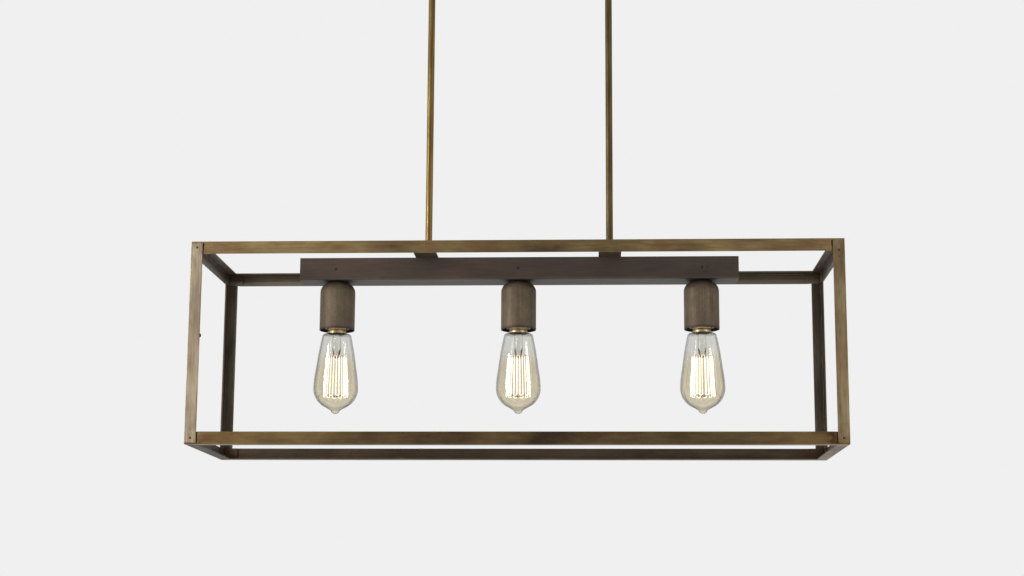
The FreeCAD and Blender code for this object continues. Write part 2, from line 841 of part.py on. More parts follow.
def ceiling_cover():
    body = new_body("ceiling_cover")
    half_x, half_y = "cover_length / 2", "cover_width / 2"
    shell = rounded(new_sketch(body, "XY"), half_x, half_y, "cover_corner")
    pad(body, shell, "cover_height - ceiling_gap")
    inside = rounded(new_sketch(body, "XY", "cover_wall"), "(%s - cover_wall)" % half_x,
                     "(%s - cover_wall)" % half_y, "(cover_corner - cover_wall)")
    pocket(body, inside, "cover_height", reverse=True)
    holes = new_sketch(body, "XY")
    for side in ("-", ""):
        circle(holes, side + "stem_pitch / 2", "0", "stem_radius + cover_fit")
    pocket(body, holes)
    return place(body, z="cover_under")


def collar(name):
    """A ring that grips a stem, chamfered at its lower edge."""
    bore = "stem_radius + slide_fit"
    return turned(name, [
        (bore, "0"), (bore, "-collar_height"), ("collar_radius - collar_edge", "-collar_height"),
        ("collar_radius", "-collar_height + collar_edge"), ("collar_radius", "0")])


keep(ceiling_cover())
keep(group("cover_collars", [
    place(collar("cover_collar_" + name), side + "stem_pitch / 2", "0", "cover_under")
    for side, name in (("-", "left"), ("", "right"))]))


# Leads from the terminal block down the left stem, along the bar and into each lampholder

def lead(start, corners, end, radius, bend, sides=6):
    """A wire of a few flat sides along straight runs and round bends of one radius."""
    edges = []
    last = start
    for before, corner, after in zip([start] + corners, corners, corners[1:] + [end]):
        into = (before - corner).normalize() * bend
        out = (after - corner).normalize() * bend
        centre = corner + into + out
        middle = centre + (corner - centre).normalize() * bend
        edges.append(Part.LineSegment(last, corner + into).toShape())
        edges.append(Part.Arc(corner + into, middle, corner + out).toShape())
        last = corner + out
    edges.append(Part.LineSegment(last, end).toShape())
    path = Part.Wire(edges)
    along = (corners[0] - start).normalize()
    across = FreeCAD.Vector(0, 1, 0)
    up = along.cross(across)
    rim = [start + (across * math.cos(a) + up * math.sin(a)) * radius
           for a in (math.tau * i / sides for i in range(sides))]
    section = Part.makePolygon(rim + rim[:1])
    return path.makePipeShell([section], True, False)


def lamp_leads():
    bend = number("lead_bend")
    down = -number("stem_pitch") / 2
    level = number("lead_level")
    run = number("run_level")
    start = number("block_place - block_length / 2")
    foot = number("holder_top - lead_tail")
    leads = []
    for step, (_, x) in enumerate(LAMPS):
        y = (step - 1) * number("lead_spacing")
        corners = [FreeCAD.Vector(down, y, level), FreeCAD.Vector(down, y, run),
                   FreeCAD.Vector(number(x), y, run)]
        end = FreeCAD.Vector(number(x), y, foot)
        leads.append(lead(FreeCAD.Vector(start, y, level), corners, end, number("lead_radius"), bend))
    feature = doc.addObject("Part::Feature", "lamp_leads")
    feature.Label = "lamp_leads"
    feature.Shape = Part.makeCompound(leads)
    return feature


keep(lamp_leads())


# Check every object, then write each sub-part

doc.recompute()
for thing in doc.Objects:
    if "Invalid" in thing.State or "Error" in thing.State:
        raise ValueError(thing.Label + " did not build")
os.makedirs("parts", exist_ok=True)
for thing in subparts:
    if thing.Shape.isNull() or not thing.Shape.isValid():
        raise ValueError(thing.Label + " has no valid shape")
for thing in subparts:
    thing.Shape.exportStep("parts/%s.step" % thing.Label)
print(len(subparts), "sub-parts written")
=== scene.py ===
# %% [markdown]
# # A linear island pendant, dressed for a photograph
#
# The pendant is a long cage of steel angle bars on two brass stems. A dark lamp bar runs inside its
# top and carries three spun cups with filament bulbs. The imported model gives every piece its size
# and place. This lesson gives each piece its fine shape and its finish, one step at a time.

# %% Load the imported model
import math
from contextlib import contextmanager

import bmesh
import bpy
from mathutils import Matrix, Vector


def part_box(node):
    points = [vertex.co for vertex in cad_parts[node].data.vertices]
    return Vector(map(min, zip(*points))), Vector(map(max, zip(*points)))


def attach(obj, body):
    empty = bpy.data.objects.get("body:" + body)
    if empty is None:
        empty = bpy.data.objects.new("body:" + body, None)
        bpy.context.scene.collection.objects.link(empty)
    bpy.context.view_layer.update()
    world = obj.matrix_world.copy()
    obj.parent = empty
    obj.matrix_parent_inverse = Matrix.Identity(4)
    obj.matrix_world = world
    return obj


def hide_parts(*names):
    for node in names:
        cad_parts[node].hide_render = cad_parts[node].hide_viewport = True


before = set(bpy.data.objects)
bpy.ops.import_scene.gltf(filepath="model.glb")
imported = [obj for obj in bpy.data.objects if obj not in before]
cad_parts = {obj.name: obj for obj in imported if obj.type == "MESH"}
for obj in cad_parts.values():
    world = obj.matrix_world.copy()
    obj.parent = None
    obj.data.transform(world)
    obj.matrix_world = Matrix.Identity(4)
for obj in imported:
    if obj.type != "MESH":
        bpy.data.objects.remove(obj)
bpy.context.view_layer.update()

MM = 0.001
SIDES = ("left", "right")
LAMPS = ("left", "middle", "right")

# %% [markdown]
# ## Tools for modelling by hand
#
# Every operator works on what is selected, and the freshly loaded nodes all are. So each tool first
# selects one piece alone. Faces are then picked by a rule on their place or direction, as a
# modeller picks them by eye. Points a few thousandths of a millimetre apart are merged into one.

# %% Selecting and editing

MERGE = 0.005 * MM


def only(*pieces):
    """Selects these pieces and nothing else; the first one becomes active."""
    bpy.ops.object.select_all(action="DESELECT")
    for piece in pieces:
        piece.select_set(True)
    bpy.context.view_layer.objects.active = pieces[0]


@contextmanager
def editing(piece, kind="FACE"):
    """Edit mode on one piece, with nothing selected at first."""
    only(piece)
    bpy.ops.object.mode_set(mode="EDIT")
    bpy.ops.mesh.select_mode(type=kind)
    bpy.ops.mesh.select_all(action="DESELECT")
    yield
    bpy.ops.object.mode_set(mode="OBJECT")


def pick(piece, rule):
    """Selects the faces of the piece in edit mode that the rule accepts."""
    mesh = bmesh.from_edit_mesh(piece.data)
    for face in mesh.faces:
        if rule(face):
            face.select_set(True)
    bmesh.update_edit_mesh(piece.data)


def apply_modifier(piece, kind, **settings):
    """Adds one modifier to the piece and applies it."""
    only(piece)
    modifier = piece.modifiers.new(kind.lower(), kind)
    for key, value in settings.items():
        setattr(modifier, key, value)
    bpy.ops.object.modifier_apply(modifier=modifier.name)


def smooth(piece, degrees=35):
    """Smooth shading up to that angle, with the normals weighted so that broad faces stay flat."""
    only(piece)
    bpy.ops.object.shade_smooth_by_angle(angle=math.radians(degrees))
    apply_modifier(piece, "WEIGHTED_NORMAL", keep_sharp=True)


def clean_up(reach=MERGE):
    """In edit mode, merges points within that reach and turns every face outwards."""
    bpy.ops.mesh.select_all(action="SELECT")
    bpy.ops.mesh.remove_doubles(threshold=reach)
    bpy.ops.mesh.normals_make_consistent(inside=False)


# %% [markdown]
# ## Handing a piece to the frame
#
# A finished piece keeps its object at the origin, with its place in its mesh. It rides on the body
# of the node that it stands for, so it moves with that body at every pose.

# %% Settling finished pieces


def settle(piece, name, body, finishes, replaces=()):
    """Names a finished piece, writes its place into its mesh and lets it ride on a body."""
    only(piece)
    bpy.ops.object.transform_apply(location=True, rotation=True, scale=True)
    piece.name = piece.data.name = name
    if not piece.data.materials:
        for finish in finishes:
            piece.data.materials.append(finish)
    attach(piece, body)
    if replaces:
        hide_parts(*replaces)
    print("made", name, "with", len(piece.data.polygons), "faces")


def twin(piece):
    """A copy of the piece with a mesh of its own."""
    copy = piece.copy()
    copy.data = piece.data.copy()
    bpy.context.collection.objects.link(copy)
    return copy


def joined(pieces):
    """Several pieces as one."""
    only(*pieces)
    bpy.ops.object.join()
    return bpy.context.view_layer.objects.active


# %% [markdown]
# ## Writing shaders as sums
#
# A small class wraps a socket of a material, so that an expression such as `0.4 + 0.2 * grain` adds
# its own Math nodes. One method makes every other node, from its sockets and any settings. A socket
# goes by its name, or by its number where a node has several of one name.

# %% The shader class


class Wire:
    """A socket in a material's nodes that can be written like a number."""

    def __init__(self, tree, socket=None):
        self.tree, self.socket = tree, socket

    def node(self, kind, sockets=None, settings=None, out=0):
        """Adds one node and gives back one of its outputs."""
        made = self.tree.nodes.new("ShaderNode" + kind)
        for key, value in (settings or {}).items():
            setattr(made, key, value)
        for key, value in (sockets or {}).items():
            if isinstance(value, Wire):
                self.tree.links.new(value.socket, made.inputs[key])
            else:
                made.inputs[key].default_value = value
        return Wire(self.tree, made.outputs[out]) if made.outputs else made

    def math(self, operation, *others, clamp=False):
        """A Math node on this value and the others."""
        settings = {"operation": operation, "use_clamp": clamp}
        return self.node("Math", dict(enumerate((self, *others))), settings)

    def __add__(self, other):
        return self.math("ADD", other)

    __radd__ = __add__

    def __mul__(self, other):
        return self.math("MULTIPLY", other)

    __rmul__ = __mul__

    def __sub__(self, other):
        return self.math("SUBTRACT", other)

    def __rsub__(self, other):
        return self.math("MULTIPLY_ADD", -1.0, other)

    def between(self, low, high):
        """0 below low, 1 above high and even in between."""
        sockets = {0: self, 1: low, 2: high, 3: 0.0, 4: 1.0}
        return self.node("MapRange", sockets, {"clamp": True})

    def blend(self, one, other):
        """From one colour to the other as this value goes from 0 to 1."""
        return self.node("Mix", {0: self, 6: one, 7: other}, {"data_type": "RGBA"}, out=2)


def tone(red, green, blue):
    """A colour as a screen shows it, 0 to 255, as the linear colour that a shader takes."""
    shares = (value / 255 for value in (red, green, blue))
    linear = [s / 12.92 if s <= 0.04045 else ((s + 0.055) / 1.055) ** 2.4 for s in shares]
    return (*linear, 1.0)


def new_finish(name):
    """An empty material, and the wire that its nodes are made from."""
    material = bpy.data.materials.new(name)
    material.use_nodes = True
    material.node_tree.nodes.clear()
    return material, Wire(material.node_tree)


def object_place(wire):
    """Where a point lies on the object, in metres."""
    return wire.node("TexCoord", out="Object")


def pattern(wire, stretch=(1, 1, 1), shift=(0, 0, 0)):
    """Object coordinates, stretched along each axis and then shifted."""
    return wire.node("Mapping", {"Vector": object_place(wire), "Location": shift, "Scale": stretch})


def noise(wire, place, scale, detail=4.0, rough=0.55):
    """Noise from 0 to 1, mostly near the middle."""
    sockets = {"Vector": place, "Scale": scale, "Detail": detail, "Roughness": rough}
    return wire.node("TexNoise", sockets)


def bump(wire, height, depth):
    """A bump of that depth in metres."""
    return wire.node("Bump", {"Strength": 1.0, "Distance": depth, "Height": height})


def coat(material, wire, sockets):
    """One principled shader as the material's surface."""
    shader = wire.node("BsdfPrincipled", sockets)
    wire.node("OutputMaterial", {"Surface": shader})
    print("finish", material.name, "has", len(wire.tree.nodes), "nodes")
    return material


# %% [markdown]
# ## Aged bronze on the cage
#
# The steel is plated and aged by hand. Outside, the maker rubs the bars until the brown lets the
# gold through, in long soft patches and fine lines along each bar. Inside, the dark brown stays.
# Where the bars were joined, heat has left reddish marks, and one joint is scorched. A painted
# picture would need an image, so the patches are noise on Object coordinates, and each bar
# direction has its own copy of the finish. The left uprights get a paler, greyer copy: painted
# light from the bright left side. The lower bars get darker copies, painted shade, and a paler grey
# stripe low inside the upper bars is a painted reflection.

# %% The cage's own sizes

cage_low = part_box("bottom_rail_left")[0]
cage_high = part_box("top_rail_right")[1]
cage_low.y, cage_high.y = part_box("bottom_rail_front")[0].y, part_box("top_rail_back")[1].y
cage_middle, cage_half = (cage_low + cage_high) / 2, (cage_high - cage_low) / 2
print("cage", [round(v / MM) for v in cage_high - cage_low], "mm")


def stretched(axis, along, across=1.0):
    """The scales of a pattern that runs along one axis."""
    return tuple(along if name == axis else across for name in "xyz")


def coordinate(wire, axis):
    """Where a point lies along one axis, in metres."""
    return wire.node("SeparateXYZ", {"Vector": object_place(wire)}, out=axis.upper())


# %% Cage finishes

HEAT_RED, LINE_BROWN, SPECK_BROWN = tone(88, 56, 34), tone(50, 40, 26), tone(44, 35, 24)
SCORCH_BROWN, REFLECTION_GREY = tone(66, 42, 20), tone(122, 118, 104)
HEAT_FROM_END = (52 * MM, 14 * MM)
SCORCH_REACH = (14 * MM, 6 * MM)
REFLECTION_FROM_TOP = (9.5 * MM, 13 * MM)


def rubbed_bronze(name, axis, dark, warm, gold, rough=0.42, ends=0.0, reflection_band=0.0, scorch=None):
    """Aged bronze with patches and lines along one axis, and heat marks at both ends. The ends may
    be rubbed more, a paler grey stripe of painted reflection may run low on the upper rails, and
    one spot may be scorched."""
    material, wire = new_finish(name)
    plain = pattern(wire)
    drift = pattern(wire, stretched(axis, 0.5, 1.3))
    patches = noise(wire, drift, 24.0, 4.0).between(0.36, 0.64)
    blush = noise(wire, pattern(wire, stretched(axis, 0.6, 1.6), (3.1, 1.7, 0.4)), 34.0, 3.0)
    lines = noise(wire, pattern(wire, stretched(axis, 0.05)), 420.0, 5.0, 0.65)
    specks = noise(wire, plain, 900.0, 3.0, 0.7).between(0.62, 0.76)
    centre, half = getattr(cage_middle, axis), getattr(cage_half, axis)
    from_middle = (coordinate(wire, axis) - centre).math("ABSOLUTE")
    if ends:
        worn = from_middle.between(0.3 * half, half)
        patches = ((1 - 0.4 * ends) * patches).math("ADD", ends * worn, clamp=True)
    heat = from_middle.between(*(half - reach for reach in HEAT_FROM_END))
    heat = heat * noise(wire, plain, 60.0, 3.0).between(0.40, 0.62)
    colour = patches.blend(dark, gold)
    colour = (0.7 * blush.between(0.46, 0.66)).blend(colour, warm)
    colour = (0.40 * lines.between(0.42, 0.68)).blend(colour, LINE_BROWN)
    colour = (0.45 * heat).blend(colour, HEAT_RED)
    colour = (0.45 * specks).blend(colour, SPECK_BROWN)
    if scorch:
        away = wire.node("VectorMath", {0: plain, 1: scorch}, {"operation": "DISTANCE"},
                         out="Value")
        burnt = away.between(*SCORCH_REACH) * noise(wire, plain, 90.0, 3.0).between(0.36, 0.52)
        colour = (0.85 * burnt).blend(colour, SCORCH_BROWN)
    # Painted reflection: a paler grey stripe low on the upper rails' inner faces.
    if reflection_band:
        lower = coordinate(wire, "z").between(*(cage_high.z - depth for depth in REFLECTION_FROM_TOP))
        colour = (reflection_band * lower).blend(colour, REFLECTION_GREY)
    height = lines + 0.6 * noise(wire, plain, 160.0, 4.0)
    return coat(material, wire, {
        "Base Color": colour,
        "Metallic": 0.75,
        "Roughness": rough + 0.20 * lines - 0.08 * patches,
        "Normal": bump(wire, height, 0.10 * MM),
    })


JOINT_SCORCH = (cage_high.x - 22 * MM, cage_low.y, cage_low.z + 9 * MM)
UPPER = {axis: rubbed_bronze("rubbed_upper_" + axis, axis, tone(84, 68, 44), tone(118, 86, 56),
                             tone(150, 128, 86), ends=0.7) for axis in "xy"}
# The lower bars' finishes are darker copies: painted shade on the lower half of the cage.
LOWER_SHADED = {axis: rubbed_bronze("rubbed_shaded_lower_" + axis, axis, tone(54, 43, 27), tone(86, 58, 33),
                             tone(124, 101, 62), ends=0.8, scorch=JOINT_SCORCH) for axis in "xy"}
# The left copy is paler and greyer: painted light from the bright left side.
UPRIGHT = {
    "left": rubbed_bronze("rubbed_upright_left_painted_light", "z", tone(122, 108, 89), tone(148, 125, 102),
                          tone(173, 159, 134)),
    "right": rubbed_bronze("rubbed_upright_right", "z", tone(122, 104, 75), tone(148, 118, 85),
                           tone(173, 154, 117)),
}
UPPER_INNER = {axis: rubbed_bronze("dark_upper_with_reflection_" + axis, axis, tone(72, 64, 52), tone(86, 68, 54),
                                   tone(96, 85, 68), 0.5, reflection_band=0.55) for axis in "xy"}
# Darker inside too: painted shade on the lower bars.
LOWER_INNER_SHADED = {axis: rubbed_bronze("dark_shaded_lower_" + axis, axis, tone(58, 49, 38), tone(74, 56, 42),
                                   tone(82, 70, 54), 0.5) for axis in "xy"}
UPRIGHT_INNER = rubbed_bronze("dark_upright_z", "z", tone(74, 67, 56), tone(88, 72, 58),
                              tone(102, 92, 76), 0.5)
EDGE = rubbed_bronze("edge_bronze", "x", tone(92, 74, 48), tone(110, 84, 56), tone(134, 112, 74))
RIVET_BRONZE = rubbed_bronze("rivet_bronze", "z", tone(56, 42, 28), tone(72, 50, 34),
                             tone(84, 66, 44))

# %% [markdown]
# ## Dressing the cage bars
#
# The bars have the right shape already, but no real edge is sharp. A copy of each bar is merged,
# its flat faces are made whole again, and a narrow bevel rounds every edge. The bevel has a finish
# of its own, because edges are where the gold shows first. Faces on the cage's outside get the
# rubbed finish, the others the dark one, and so does the underside of the left bottom bar. A face
# counts as facing a way when its normal points nearly there.

# %% Copies with soft edges

BAR_EDGE, RAIL_WALL = 0.35 * MM, 2 * MM
NEAR, FACING = 0.3 * MM, 0.9


def fine_copy(node, width, segments=2, edge_index=0):
    """A copy of a node's mesh with whole faces and bevelled edges."""
    copy = bpy.data.objects.new("fine_" + node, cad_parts[node].data.copy())
    copy.data.materials.clear()
    bpy.context.collection.objects.link(copy)
    with editing(copy):
        bpy.ops.mesh.select_all(action="SELECT")
        bpy.ops.mesh.remove_doubles(threshold=MERGE)
        bpy.ops.mesh.dissolve_limited(angle_limit=math.radians(1))
    apply_modifier(copy, "BEVEL", width=width, segments=segments, limit_method="ANGLE",
                   angle_limit=math.radians(40), material=edge_index, harden_normals=False)
    smooth(copy)
    return copy


def outside(face):
    """True for a face on the cage's outer box, or for an upright's foot on the wall of a rail."""
    centre = face.calc_center_median()
    for axis in range(3):
        for wall in (cage_low[axis], cage_high[axis]):
            if abs(centre[axis] - wall) < NEAR and abs(face.normal[axis]) > FACING:
                return True
    return abs(centre.z - cage_low.z - RAIL_WALL) < NEAR and face.normal.z < -FACING


def dress_bar(node, inner, outer):
    """A fine copy of a cage bar: inner finish, rubbed finish outside and a finish for its edges."""
    bar = fine_copy(node, BAR_EDGE, edge_index=2)
    for finish in (inner, outer, EDGE):
        bar.data.materials.append(finish)
    mesh = bmesh.new()
    mesh.from_mesh(bar.data)
    for face in mesh.faces:
        unrubbed = node == "bottom_rail_left" and face.normal.z < -FACING
        if face.material_index == 0 and outside(face) and not unrubbed:
            face.material_index = 1
    mesh.to_mesh(bar.data)
    mesh.free()
    smooth(bar)
    settle(bar, "fine_" + node, "pendant", (), [node])


for level, inner, rubbed in (("top", UPPER_INNER, UPPER), ("bottom", LOWER_INNER_SHADED, LOWER_SHADED)):
    for side, axis in (("front", "x"), ("right", "y"), ("back", "x"), ("left", "y")):
        dress_bar("%s_rail_%s" % (level, side), inner[axis], rubbed[axis])
for depth, side in (("front", "left"), ("front", "right"), ("back", "right"), ("back", "left")):
    dress_bar("upright_%s_%s" % (depth, side), UPRIGHT_INNER, UPRIGHT[side])

# %% [markdown]
# ## Rivets and small screws
#
# Each bar is held at the corners by small flush rivets, and small screws hold the lid of the lamp
# bar. At this size a head is only a low dome with a rim. One head is modelled from a short cylinder
# whose top is drawn in by insets. All others are copies of it, each turned to face out of its wall.
# At the front, the right top rivet sits low with a dimple below it, and a small dark nub sits on
# the left upright's inner edge.

# %% One head and its copies

HEAD_RADIUS, HEAD_DEPTH = 1.7 * MM, 0.6 * MM
HEAD_INSETS = ((0.35 * MM, 0.22 * MM), (0.5 * MM, 0.12 * MM), (0.45 * MM, 0.03 * MM))
SLOT_SIZE, SLOT_RISE = (3 * HEAD_RADIUS, 0.55 * MM, 0.6 * MM), 0.35 * MM


def low_head():
    """A low round head at the origin that faces +Z."""
    bpy.ops.object.select_all(action="DESELECT")
    bpy.ops.mesh.primitive_cylinder_add(vertices=24, radius=HEAD_RADIUS, depth=HEAD_DEPTH)
    head = bpy.context.object
    with editing(head):
        pick(head, lambda face: face.normal.z > FACING)
        for width, rise in HEAD_INSETS:
            bpy.ops.mesh.inset(thickness=width, depth=rise)
    smooth(head, 60)
    return head


def slotted_head():
    """The same head with a screwdriver slot cut across it."""
    head = low_head()
    bpy.ops.mesh.primitive_cube_add(size=1, location=(0, 0, HEAD_DEPTH / 2 + SLOT_RISE))
    cutter = bpy.context.object
    cutter.scale = SLOT_SIZE
    bpy.ops.object.transform_apply(location=True, scale=True)
    apply_modifier(head, "BOOLEAN", operation="DIFFERENCE", object=cutter, solver="EXACT")
    bpy.data.objects.remove(cutter)
    smooth(head, 40)
    return head


def set_on(model, spot, direction, size=(1, 1, 1), turn=0.0):
    """A copy of a model that faces +Z, set on a spot and facing a direction. The size gives its
    width, its height and how far it stands out."""
    copy = twin(model)
    facing = Vector(direction).to_track_quat("Z", "Y").to_matrix().to_4x4()
    shape = Matrix.Rotation(turn, 4, "Z") @ Matrix.Diagonal((*size, 1))
    copy.data.transform(Matrix.Translation(spot) @ facing @ shape)
    return copy


rivet, screw = low_head(), slotted_head()
print("heads", len(rivet.data.polygons), len(screw.data.polygons), "faces")

# %% Heads on the cage

ANGLE_LEG = 16 * MM
RIVET_FROM_END, RIVET_LOWERED = 8.5 * MM, 8.2 * MM
DIMPLE_FROM_TOP, DIMPLE_SIZE = 25 * MM, (0.55, 0.55, 0.55)
NUB_FROM_TOP, NUB_SIZE = 132 * MM, (0.56, 1.5, 3.2)
heads = []
for x_side, x in ((-1, cage_low.x), (1, cage_high.x)):
    for y_side, y in ((-1, cage_low.y), (1, cage_high.y)):
        for z in (cage_high.z - RIVET_FROM_END, cage_low.z + RIVET_FROM_END):
            lower = RIVET_LOWERED if x_side > 0 > y_side and z > cage_middle.z else 0
            heads.append(set_on(rivet, (x - x_side * ANGLE_LEG / 2, y, z - lower), (0, y_side, 0)))
            heads.append(set_on(rivet, (x, y - y_side * ANGLE_LEG / 2, z), (x_side, 0, 0)))
front_leg = (cage_high.x - ANGLE_LEG / 2, cage_low.y, cage_high.z - DIMPLE_FROM_TOP)
heads.append(set_on(rivet, front_leg, (0, -1, 0), DIMPLE_SIZE))
inner_edge = (cage_low.x + ANGLE_LEG, cage_low.y + RAIL_WALL / 2, cage_high.z - NUB_FROM_TOP)
heads.append(set_on(rivet, inner_edge, (1, 0, 0), NUB_SIZE))
settle(joined(heads), "corner_rivets", "pendant", [RIVET_BRONZE])

# %% [markdown]
# ## The straps and the lamp bar
#
# The flat straps and the folded lamp bar are never rubbed, so they keep an even dark brown with a
# faint red tone. The bar's underside gets a grey copy: painted light from the pale floor below.
# The folds of thin sheet are round, and the lid's seam shows as a line. The imported shapes are
# right, so copies with round edges are enough.

# %% Dark brown finishes


def brown_patina(name, axis, low, high, rough):
    """An even dark patina with a fine grain along one axis."""
    material, wire = new_finish(name)
    plain = pattern(wire)
    clouds = noise(wire, pattern(wire, stretched(axis, 0.4)), 20.0, 4.0).between(0.35, 0.68)
    grain = noise(wire, pattern(wire, stretched(axis, 0.05)), 500.0, 4.0, 0.6)
    specks = noise(wire, plain, 700.0, 3.0, 0.7).between(0.64, 0.75)
    colour = clouds.blend(low, high)
    colour = (0.35 * grain.between(0.4, 0.7)).blend(colour, tone(40, 34, 28))
    colour = (0.4 * specks).blend(colour, tone(110, 92, 70))
    height = grain + 0.5 * noise(wire, plain, 220.0, 4.0)
    return coat(material, wire, {
        "Base Color": colour,
        "Metallic": 0.55,
        "Roughness": rough + 0.15 * grain,
        "Normal": bump(wire, height, 0.08 * MM),
    })


BAR_BROWN = brown_patina("bar_brown", "x", tone(71, 60, 53), tone(89, 72, 62), 0.45)
BAR_UNDER_REFLECTION = brown_patina("bar_under", "x", tone(58, 58, 51), tone(71, 70, 62), 0.5)
STRAP_BROWN = brown_patina("strap_brown", "y", tone(80, 66, 50), tone(98, 80, 60), 0.45)
SCREW_BLACK = brown_patina("screw_black", "z", tone(30, 25, 21), tone(44, 36, 30), 0.5)

# %% Straps, bar, lid and end caps

STRAP_EDGE, SHEET_EDGE, UNDERSIDE = 0.3 * MM, 0.25 * MM, 0.2 * MM
bar_low, bar_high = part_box("bar_channel")
for side in SIDES:
    strap = fine_copy("strap_" + side, STRAP_EDGE)
    settle(strap, "fine_strap_" + side, "pendant", [STRAP_BROWN], ["strap_" + side])
for node in ("bar_channel", "bar_lid", "bar_cap_left", "bar_cap_right"):
    sheet = fine_copy(node, SHEET_EDGE)
    # The grey second finish goes on the bar's underside: painted light from the floor below.
    for finish in (BAR_BROWN, BAR_UNDER_REFLECTION):
        sheet.data.materials.append(finish)
    for face in sheet.data.polygons:
        if face.normal.z < -FACING and face.center.z < bar_low.z + UNDERSIDE:
            face.material_index = 1
    settle(sheet, "fine_" + node, "pendant", (), [node])

# %% Screws of the lid and rivets of the straps

LARGE, SMALL = (1.1, 1.1, 1.1), (0.6, 0.6, 0.6)
PLUG_ASIDE = 8 * MM
STRAP_RIVET_X, STRAP_RIVET_Y = 9 * MM, 6 * MM
lamp_x = {lamp: sum(c.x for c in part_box("bulb_contact_" + lamp)) / 2 for lamp in LAMPS}
screw_z = cage_high.z - 20 * MM
heads = []
for y_side, y in ((-1, bar_low.y), (1, bar_high.y)):
    for step, lamp in enumerate(LAMPS):
        turn = 0.5 + 1.1 * step
        heads.append(set_on(screw, (lamp_x[lamp], y, screw_z), (0, y_side, 0), LARGE, turn))
plug = (lamp_x["right"] + PLUG_ASIDE, bar_low.y, screw_z)
heads.append(set_on(rivet, plug, (0, -1, 0), SMALL))
settle(joined(heads), "lid_screws", "pendant", [SCREW_BLACK])

heads = []
for side in SIDES:
    strap_low, strap_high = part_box("strap_" + side)
    for y in (strap_low.y + STRAP_RIVET_Y, strap_high.y - STRAP_RIVET_Y):
        for x in (strap_low.x + STRAP_RIVET_X, strap_high.x - STRAP_RIVET_X):
            heads.append(set_on(rivet, (x, y, strap_low.z), (0, 0, -1)))
settle(joined(heads), "strap_rivets", "pendant", [STRAP_BROWN])

# %% [markdown]
# ## Brass stems and nuts
#
# The stems are thin brass tubes, aged brown and rubbed along their length. The rubbed lines run up
# the tube, so the noise is stretched along Z. The brass mirrors the studio softly, and its light
# and dark stripes come from there, not from paint. The right stem gets a darker, rougher copy of
# the brass: its darker colour is painted shade, away from the lamp on the left.

# %% Brass finish, stems and nuts


def old_brass(name, deep, bright, cloud, rough):
    """Brass rubbed along Z, with clouds of old patina left on it."""
    material, wire = new_finish(name)
    plain = pattern(wire)
    streaks = noise(wire, pattern(wire, stretched("z", 0.05)), 260.0, 5.0, 0.6).between(0.36, 0.66)
    clouds = noise(wire, pattern(wire, stretched("z", 0.3)), 60.0, 4.0).between(0.38, 0.66)
    spots = noise(wire, plain, 500.0, 3.0, 0.7).between(0.60, 0.74)
    colour = streaks.blend(deep, bright)
    colour = (0.6 * clouds).blend(colour, cloud)
    colour = (0.4 * spots).blend(colour, tone(58, 44, 24))
    grain = noise(wire, pattern(wire, stretched("z", 0.05)), 900.0, 3.0)
    return coat(material, wire, {
        "Base Color": colour,
        "Metallic": 0.75,
        "Roughness": rough + 0.14 * clouds,
        "Normal": bump(wire, grain, 0.02 * MM),
    })


STEM_BRASS = {
    "left": old_brass("stem_brass_rubbed", tone(98, 77, 36), tone(144, 120, 70),
                      tone(96, 72, 28), 0.32),
    # Darker colours for the right stem: painted shade.
    "right": old_brass("stem_brass_painted_shade", tone(78, 62, 34), tone(108, 89, 54),
                       tone(70, 55, 29), 0.42),
}
NUT_BRASS = old_brass("nut_brass", tone(92, 75, 44), tone(130, 108, 66), tone(84, 66, 40), 0.36)


def dressed(node, body, finish, width=0.3 * MM, segments=2, angle=35):
    """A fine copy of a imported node, with its finish, in the node's place."""
    copy = fine_copy(node, width, segments)
    smooth(copy, angle)
    settle(copy, "fine_" + node, body, [finish], [node])


for side in SIDES:
    dressed("stem_" + side, "pendant", STEM_BRASS[side], 0.2 * MM)
for node in ("stem_top_nuts", "stem_lower_nuts", "nipple_nuts"):
    dressed(node, "pendant", NUT_BRASS)

# %% [markdown]
# ## Spun cups
#
# A cup is spun from a flat disc over a former. Spinning leaves lines round it, but this one was
# brushed down the side by hand, so its streaks are vertical. The cup starts as a cylinder: its
# floor is taken off, its top edge becomes the dome by a wide bevel, and its wall gets its thickness
# last.

# %% Cup shape

cup_low, cup_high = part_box("cup_middle")
CUP_RADIUS = (cup_high.x - cup_low.x) / 2
CUP_DOME, CUP_WALL, CUP_EDGE = 15 * MM, 1.2 * MM, 0.4 * MM
NIPPLE_HOLE = 5.2 * MM
print("cup", round(2 * CUP_RADIUS / MM, 1), "mm across")


def spun_cup(x):
    """A cup round a lamp's axis, open below, with a hole for the nipple in its top."""
    height = cup_high.z - cup_low.z
    bpy.ops.object.select_all(action="DESELECT")
    bpy.ops.mesh.primitive_cylinder_add(vertices=80, radius=CUP_RADIUS, depth=height,
                                        location=(x, 0, (cup_high.z + cup_low.z) / 2))
    cup = bpy.context.object
    bpy.ops.object.transform_apply(location=True)
    with editing(cup):
        pick(cup, lambda face: face.normal.z < -FACING)
        bpy.ops.mesh.delete(type="FACE")
        pick(cup, lambda face: face.normal.z > FACING)
        bpy.ops.mesh.bevel(offset=CUP_DOME, segments=10, affect="EDGES", clamp_overlap=False)
        bpy.ops.mesh.select_all(action="DESELECT")
        pick(cup, lambda face: face.normal.z > FACING and len(face.verts) > 4)
        bpy.ops.mesh.inset(thickness=CUP_RADIUS - CUP_DOME - NIPPLE_HOLE)
        bpy.ops.mesh.delete(type="FACE")
    with editing(cup):
        clean_up()
    apply_modifier(cup, "SOLIDIFY", thickness=CUP_WALL, offset=-1)
    apply_modifier(cup, "BEVEL", width=CUP_EDGE, segments=3, limit_method="ANGLE",
                   angle_limit=math.radians(50))
    smooth(cup, 40)
    return cup


# %% Cup finish

SKIRT_ABOVE_RIM = (24 * MM, 6 * MM)
SHADE_ABOVE_RIM = (4.2 * MM, 1.6 * MM)


